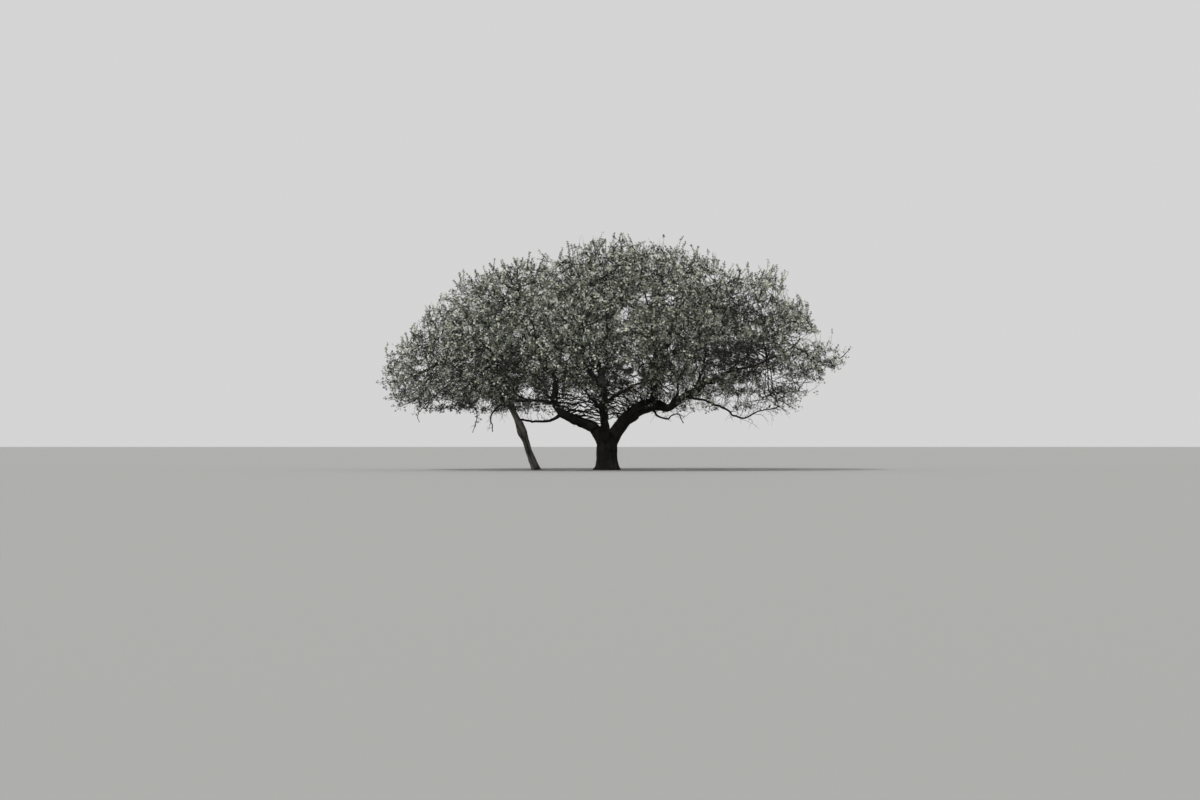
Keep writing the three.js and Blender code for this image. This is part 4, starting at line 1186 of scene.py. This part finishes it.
def leaves_on(lines, seed, leafing, upright=False):
    """Leaves along shoots, from the tip back, each a golden angle round from the last, closer and smaller on
    upright shoots. Gives each leaf's root, direction, normal, length and a draw raised by painted shade,
    which its spray shares."""
    whole = line_lengths(lines)[:, -1:]
    most = 2 * leafing.most if upright else leafing.most
    at = whole - (np.arange(most) + 0.25) * leafing.spacing * (UPRIGHT_SPACING if upright else 1)
    kept = at > 0.22 * whole
    share = np.clip(at / np.maximum(whole, 1), 0, 1) * (lines.shape[1] - 1)
    low = np.minimum(share.astype(int), lines.shape[1] - 2)
    rows = np.arange(len(lines))[:, None]
    mix = (share - low)[..., None]
    root = lines[rows, low] * (1 - mix) + lines[rows, low + 1] * mix
    run = unit(lines[rows, low + 1] - lines[rows, low])
    side = square_to(run)
    number = np.broadcast_to(np.arange(most), kept.shape)
    angle = GOLDEN_ANGLE * number + 2 * np.pi * draws((len(lines), 1), seed)
    radial = turned(side, np.cross(run, side), angle[..., None])
    lean = run * (UPRIGHT_LEAN if upright else LEAF_LEAN)
    out = unit(lean + radial * 0.85 + UP * 0.12 + swings(run.shape, seed + 1) * 0.7)
    face = square_part(UP * 0.9 + swings(run.shape, seed + 2) * 2.0, out)
    length = leafing.length * (0.72 + 0.5 * draws(kept.shape, seed + 3)) * np.where(number == 0, 0.8, 1)
    length = length * (UPRIGHT_LENGTH if upright else 1)
    kept = kept & (open_share(root) > 0.85) & (draws(kept.shape, seed + 6) > share_in(SPARSE, root))
    tips = lines[:, -1]
    # Painted shade: sprays lower down, deeper under the dome and in the SHADED parts draw darker tints, so
    # that the high outer sprays come out lightest. The half of a shoot's leaves nearer its root draws a
    # little darker.
    high = smooth((tips[:, 2] - 1500) / 2800)
    outer = smooth(1 - (dome_height(tips[:, 0], tips[:, 1]) - tips[:, 2]) / 1500)
    shade = 0.1 * (1 - high) + 0.06 * (1 - outer) + share_in(SHADED, tips)
    luck_and_shade = np.minimum(0.65 * draws((len(lines), 2), seed + 4) + shade[:, None] + (0, 0.06), 0.98)
    luck_and_shade[draws(luck_and_shade.shape, seed + 9) > DRY_ABOVE] = 1
    luck_and_shade = luck_and_shade[rows, (number >= most // 2).astype(int)]
    return [array[kept] for array in (root, out, face, length, luck_and_shade)]


def leaf_template():
    """A leaf cut twice, of length 1, with columns along, across and up: a blade that widens along its stalk,
    and two pairs of kite-shaped blades that leave it slantwise, the lower pair longest. The stalk droops with
    the square of the way along, the pairs lift in a V, and each blade is folded along its middle."""
    blades = [np.array(((0, 0, 0), (0.74, 0.12, -0.04), (1.0, 0, -0.1), (0.74, -0.12, -0.04)))]
    kite = np.array(((0, 0, 0), (0.52, 0.28, 0.14), (1, 0, 0.1), (0.52, -0.28, 0.14)))
    for at, length, slant in LEAF_PAIRS:
        along, across, lift = (length * kite).T
        c, s = np.cos(np.radians(slant)), np.sin(np.radians(slant))
        droop = 0.1 * (at + along * c) ** 2
        blade = np.column_stack((at + along * c + across * s, along * s - across * c, lift - droop))
        blades += [blade[::-1], blade * (1, -1, 1)]
    first = 4 * np.arange(len(blades))[:, None]
    return np.concatenate(blades), (first + (0, 1, 2, 2, 3, 0)).reshape(-1, 3)


def grow(scene):
    """The limbs by name, and the tubes and leaves of each mass, grown once and kept."""
    if not GROWN:
        masses = mass_list()
        GROWN["limbs"] = all_limbs(masses)
        GROWN["masses"] = {
            limb.feeds: grow_mass(masses[limb.feeds], limb, scene.acacia_twigs, scene.acacia_leaves)
            for limb in GROWN["limbs"].values() if limb.feeds
        }
    return GROWN["limbs"], GROWN["masses"]


def fringe_tubes(limbs):
    """Bare twigs along limbs, each with finer twigs that leave it in drawn directions."""
    tubes = []
    for number, (name, start, end, count, way, length, thick, rise, finer) in enumerate(FRINGES):
        limb = limbs[name]
        seed = 900 + 17 * number
        share = between(start, end, (np.arange(count) + draws(count, seed)) / count)
        ways = unit(np.array(way) + swings((count, 3), seed + 1) * (0.9, 1.1, 0.9))
        lengths = length * (0.5 + 0.75 * draws(count, seed + 2))[:, None]
        roots = limb.at(share)
        lines = twig_lines(roots, limb.run(share), roots + ways * lengths, rise, 0.09, 9, seed + 3)
        tubes.append((lines, tapered(thick, 2.0, lines), 5))
        at = 2 + (np.arange(finer) * 6) // finer
        roots, runs = (array[:, at].reshape(-1, 3) for array in (lines, runs_along(lines)))
        ways = unit(runs + swings(runs.shape, seed + 4) * 2.2)
        lengths = (0.35 + 0.4 * draws(len(runs), seed + 5))[:, None] * np.repeat(lengths, finer, axis=0)
        lines = twig_lines(roots, runs, roots + ways * lengths, 0.1, 0.1, 6, seed + 6)
        tubes.append((lines, tapered(0.5 * thick, 1.5, lines), 3))
    return tubes


def strand_tubes(limbs):
    """Thin strands over the fork, each from one limb to another, sagging and bulging by half a sine wave."""
    tubes = []
    belly = np.sin(np.linspace(0, np.pi, 12))[:, None]
    for number, (first, first_shares, second, second_shares, count, sag) in enumerate(STRANDS):
        seed = 3000 + 17 * number
        even, other_even = ((np.arange(count) + 0.6 * draws(count, seed + i)) / count for i in range(2))
        starts = limbs[first].at(between(*first_shares, even))
        ends = limbs[second].at(between(*second_shares, other_even))
        bulge = swings((count, 1, 1), seed + 2) * (0, 260, 0)
        lines = twig_lines(starts, unit(ends - starts + UP * 60), ends, -0.15, 0.05, 12, seed + 3)
        lines = lines + belly * (bulge - UP * sag)
        tubes.append((lines, tapered(17 + 13 * draws(count, seed + 4), 13.0, lines), 5))
    return tubes


def own(piece, slot, *nodes):
    """Ties a piece to the tree: it rides on the root, and stands for CAD nodes. The slot is not used."""
    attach(piece, "root")
    if nodes:
        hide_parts(*nodes)


# Settings

def amount(name, text, value, least=0.0, **more):
    """A setting that is a number."""
    return bpy.props.FloatProperty(name=name, description=text, default=value, min=least, **more)


def colour(name, text, value):
    """A setting that is a colour."""
    return bpy.props.FloatVectorProperty(name=name, description=text, default=value, size=3, subtype="COLOR")


class AcaciaBark(bpy.types.PropertyGroup):
    """Sizes and colours of the bark."""

    depth: amount("Crack Depth", "Depth of the cracks on the trunk", 0.016, unit="LENGTH")
    crack: colour("Crack", "Colour in the cracks", (0.003, 0.0028, 0.0025))
    plate: colour("Plate", "Colour of the plates", (0.013, 0.012, 0.0105))
    weathered: colour("Weathered", "Colour of the weathered patches", (0.024, 0.0225, 0.02))
    pale_plate: colour("Pale Plate", "Plates of the second stem", (0.105, 0.098, 0.087))
    voxel: amount("Trunk Grain", "Face size of the trunk's mesh", 0.013, 0.004, unit="LENGTH")


class AcaciaTwigs(bpy.types.PropertyGroup):
    """How many twigs grow."""

    branchlets: amount("Branchlets", "Branchlets in each cubic metre of crown", 11.0, 1)
    shoots: amount("Shoots", "Leafy shoots in each cubic metre of crown", 77.0, 1)


class AcaciaLeaves(bpy.types.PropertyGroup):
    """Sizes and tints of the leaves."""

    length: amount("Length", "Length of a leaf in millimetres", 74.0, 10)
    spacing: amount("Spacing", "Distance between leaves on a shoot in millimetres", 38.0, 5)
    most: bpy.props.IntProperty(name="Most", description="Most leaves on one shoot", default=8, min=1)
    # The tints go to sprays by a draw and by painted shade, which deals the darker ones to low, deep and
    # SHADED sprays.
    light: colour("Light", "Lightest leaves", (0.51, 0.53, 0.43))
    middle: colour("Middle", "Most leaves", (0.175, 0.188, 0.139))
    dark: colour("Dark", "Darkest leaves", (0.02, 0.022, 0.016))
    dry: colour("Dry", "A few dry leaves", (0.19, 0.165, 0.12))


class AcaciaStage(bpy.types.PropertyGroup):
    """Light, floor and camera."""

    sky: amount("Sky", "Grey of the backdrop", 0.66)
    floor: colour("Floor", "Colour of the floor", (0.3, 0.3, 0.29))
    lamp: amount("Lamp", "Strength of the soft light from above", 3.0)
    lens: amount("Lens", "Focal length of the camera", 85.0, 1, subtype="DISTANCE_CAMERA")


# Operators

class ACACIA_OT_finishes(bpy.types.Operator):
    """Makes the materials: bark, pale bark, twig bark and the leaf tints"""

    bl_idname = "acacia.finishes"
    bl_label = "Finishes"

    def execute(self, context):
        bark, leaves = context.scene.acacia_bark, context.scene.acacia_leaves
        tones = bark_tones()
        dark = (bark.crack, bark.plate, bark.weathered)
        pale = ([3 * v for v in bark.crack], bark.pale_plate, [1.6 * v for v in bark.pale_plate])
        MATERIALS["bark"] = bark_material("Acacia Bark", tones, *dark, 0.6)
        MATERIALS["pale_bark"] = bark_material("Acacia Pale Bark", tones, *pale, 0.5)
        MATERIALS["twig"] = bark_material("Acacia Twig Bark", tones, *dark, 0.2)
        for tint in TINTS:
            MATERIALS[tint] = plain_material(f"Acacia Leaf {tint.title()}", getattr(leaves, tint), 0.62, 0.3)
        return {"FINISHED"}


class ACACIA_OT_trunk(bpy.types.Operator):
    """Makes the trunk: its flared column and the first run of each head bough, melted into one barked skin"""

    bl_idname = "acacia.trunk"
    bl_label = "Trunk"

    def execute(self, context):
        settings = context.scene.acacia_bark
        limbs, _ = grow(context.scene)
        parts = [(Limb([BELOW_GROUND, *TRUNK_COLUMN]), 1.0)]
        parts += [(limbs[name], limbs[name].start) for name in HEAD_BOUGHS]
        trunk = put_object("trunk_bark", melted(rough_trunk(parts), settings.voxel))
        cut_at_ground(trunk)
        mesh = trunk.data
        roughen_trunk(mesh, parts, settings.depth / MM)
        mesh.polygons.foreach_set("use_smooth", np.ones(len(mesh.polygons), bool))
        mesh.materials.clear()
        mesh.materials.append(MATERIALS["bark"])
        mesh.update()
        own(trunk, "bark", "trunk")
        return {"FINISHED"}


class ACACIA_OT_boughs(bpy.types.Operator):
    """Makes each bough, the second stem and the dead limbs: a fine barked skin round its middle line"""

    bl_idname = "acacia.boughs"
    bl_label = "Boughs"

    def execute(self, context):
        depth = context.scene.acacia_bark.depth / MM
        for number, (name, limb) in enumerate(grow(context.scene)[0].items(), 1):
            finish = "bark"
            if name == "second_stem":
                finish = "pale_bark"
                limb = Limb([SECOND_BELOW_GROUND, *np.column_stack((limb.points, limb.radii))])
            sides = int(np.clip(round(np.pi * float(limb.radii.max()) / 16) * 2, 10, 48))
            places, relief = limb_skin(limb, sides, depth, 31 * number + 7)
            faces = tube_faces(1, len(places), sides)
            piece = put_mesh(f"{name}_bark", places, faces, [MATERIALS[finish]], relief=relief)
            if name == "second_stem":
                cut_at_ground(piece)
            own(piece, finish, name)
        return {"FINISHED"}


class ACACIA_OT_twigs(bpy.types.Operator):
    """Makes the stems, arms, branchlets and shoots inside the foliage, in pieces by part of the crown"""

    bl_idname = "acacia.twigs"
    bl_label = "Twigs"

    def execute(self, context):
        _, masses = grow(context.scene)
        for group, names in GROUPS.items():
            tubes = [tube for name in names for tube in masses[name][0]]
            piece = tube_piece(f"twigs_{group}", tubes, MATERIALS["twig"], 3)
            own(piece, "bark", *(f"foliage_{name}" for name in names))
        return {"FINISHED"}


class ACACIA_OT_bare_twigs(bpy.types.Operator):
    """Makes the bare twigs under the crown: fringes along limbs, and thin strands over the fork"""

    bl_idname = "acacia.bare_twigs"
    bl_label = "Bare Twigs"

    def execute(self, context):
        limbs, _ = grow(context.scene)
        piece = tube_piece("bare_twigs", fringe_tubes(limbs) + strand_tubes(limbs), MATERIALS["twig"], 5)
        own(piece, "bark")
        return {"FINISHED"}


class ACACIA_OT_leaves(bpy.types.Operator):
    """Makes the leaves, in pieces by part of the crown, with a tint for each spray"""

    bl_idname = "acacia.leaves"
    bl_label = "Leaves"

    def execute(self, context):
        _, masses = grow(context.scene)
        shape, triangles = leaf_template()
        tints = [MATERIALS[tint] for tint in TINTS]
        for group, names in GROUPS.items():
            root, out, face, length, luck_and_shade = stacked(masses[name][1] for name in names)
            basis = np.stack((out, np.cross(face, out), face), axis=1)
            spots = np.einsum("vk,nkj->nvj", shape, basis) * length[:, None, None]
            places = gnarled(root)[:, None] + spots
            first = np.arange(len(root))[:, None, None] * len(shape)
            # Each spray's tint comes from its draw, raised by painted shade where the spray is low, deep or
            # shaded.
            tint = np.repeat(np.searchsorted(TINT_LIMITS, luck_and_shade), len(triangles))
            faces = [(first + triangles).reshape(-1, 3)]
            piece = put_mesh(f"leaves_{group}", places, faces, tints, tint, shade_smooth=False)
            own(piece, "foliage", *(f"foliage_{name}" for name in names))
        return {"FINISHED"}


class ACACIA_OT_stage(bpy.types.Operator):
    """Sets the camera, the soft light and the plain pale floor"""

    bl_idname = "acacia.stage"
    bl_label = "Stage"

    def execute(self, context):
        scene, settings = context.scene, context.scene.acacia_stage
        scene.camera = put_object("camera", bpy.data.cameras.new("camera"))
        scene.camera.data.lens = settings.lens
        scene.camera.data.sensor_width = 36
        scene.camera.data.clip_end = 4000
        scene.camera.location = (CAMERA_SHIFT * MM, -VIEW_DISTANCE * MM, EYE_HEIGHT * MM)
        scene.camera.rotation_euler = (np.radians(CAMERA_PITCH), 0, 0)
        corners = FLOOR_HALF * np.array(((-1, -1, 0), (1, -1, 0), (1, 1, 0), (-1, 1, 0)))
        material = plain_material("Pale Floor", settings.floor, 0.9, 0.1)
        put_mesh("floor", corners, [np.array([(0, 1, 2, 3)])], [material], shade_smooth=False)
        scene.world = bpy.data.worlds.new("backdrop")
        scene.world.use_nodes = True
        backdrop = scene.world.node_tree.nodes["Background"]
        backdrop.inputs["Color"].default_value = (settings.sky, settings.sky, settings.sky, 1)
        lamp = put_object("lamp", bpy.data.lights.new("lamp", "SUN"))
        lamp.data.energy = settings.lamp
        lamp.data.angle = np.radians(10)
        lamp.rotation_euler = np.radians(LAMP_ANGLES)
        scene.view_settings.view_transform = "Standard"
        return {"FINISHED"}


class ACACIA_PT_dressing(bpy.types.Panel):
    """Lists the settings, and the steps that dress the tree"""

    bl_label = "Acacia Tree"
    bl_space_type = "VIEW_3D"
    bl_region_type = "UI"
    bl_category = "Acacia"

    def draw(self, context):
        for group, cls in SETTINGS.items():
            for name in cls.__annotations__:
                self.layout.prop(getattr(context.scene, group), name)
        for step in STEPS:
            self.layout.operator(f"acacia.{step}")


STEPS = ("stage", "finishes", "trunk", "boughs", "twigs", "bare_twigs", "leaves")
SETTINGS = {
    "acacia_bark": AcaciaBark,
    "acacia_twigs": AcaciaTwigs,
    "acacia_leaves": AcaciaLeaves,
    "acacia_stage": AcaciaStage,
}
CLASSES = (
    *SETTINGS.values(), ACACIA_OT_stage, ACACIA_OT_finishes, ACACIA_OT_trunk, ACACIA_OT_boughs,
    ACACIA_OT_twigs, ACACIA_OT_bare_twigs, ACACIA_OT_leaves, ACACIA_PT_dressing,
)


def register():
    """Registers the classes and hangs the settings on the scene."""
    for cls in CLASSES:
        bpy.utils.register_class(cls)
    for name, cls in SETTINGS.items():
        setattr(bpy.types.Scene, name, bpy.props.PointerProperty(type=cls))


def unregister():
    """Takes the settings and the classes away again."""
    for name in SETTINGS:
        delattr(bpy.types.Scene, name)
    for cls in reversed(CLASSES):
        bpy.utils.unregister_class(cls)


def main():
    """Dresses the tree step by step."""
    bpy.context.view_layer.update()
    register()
    for step in STEPS:
        getattr(bpy.ops.acacia, step)()


if __name__ == "__main__":
    main()
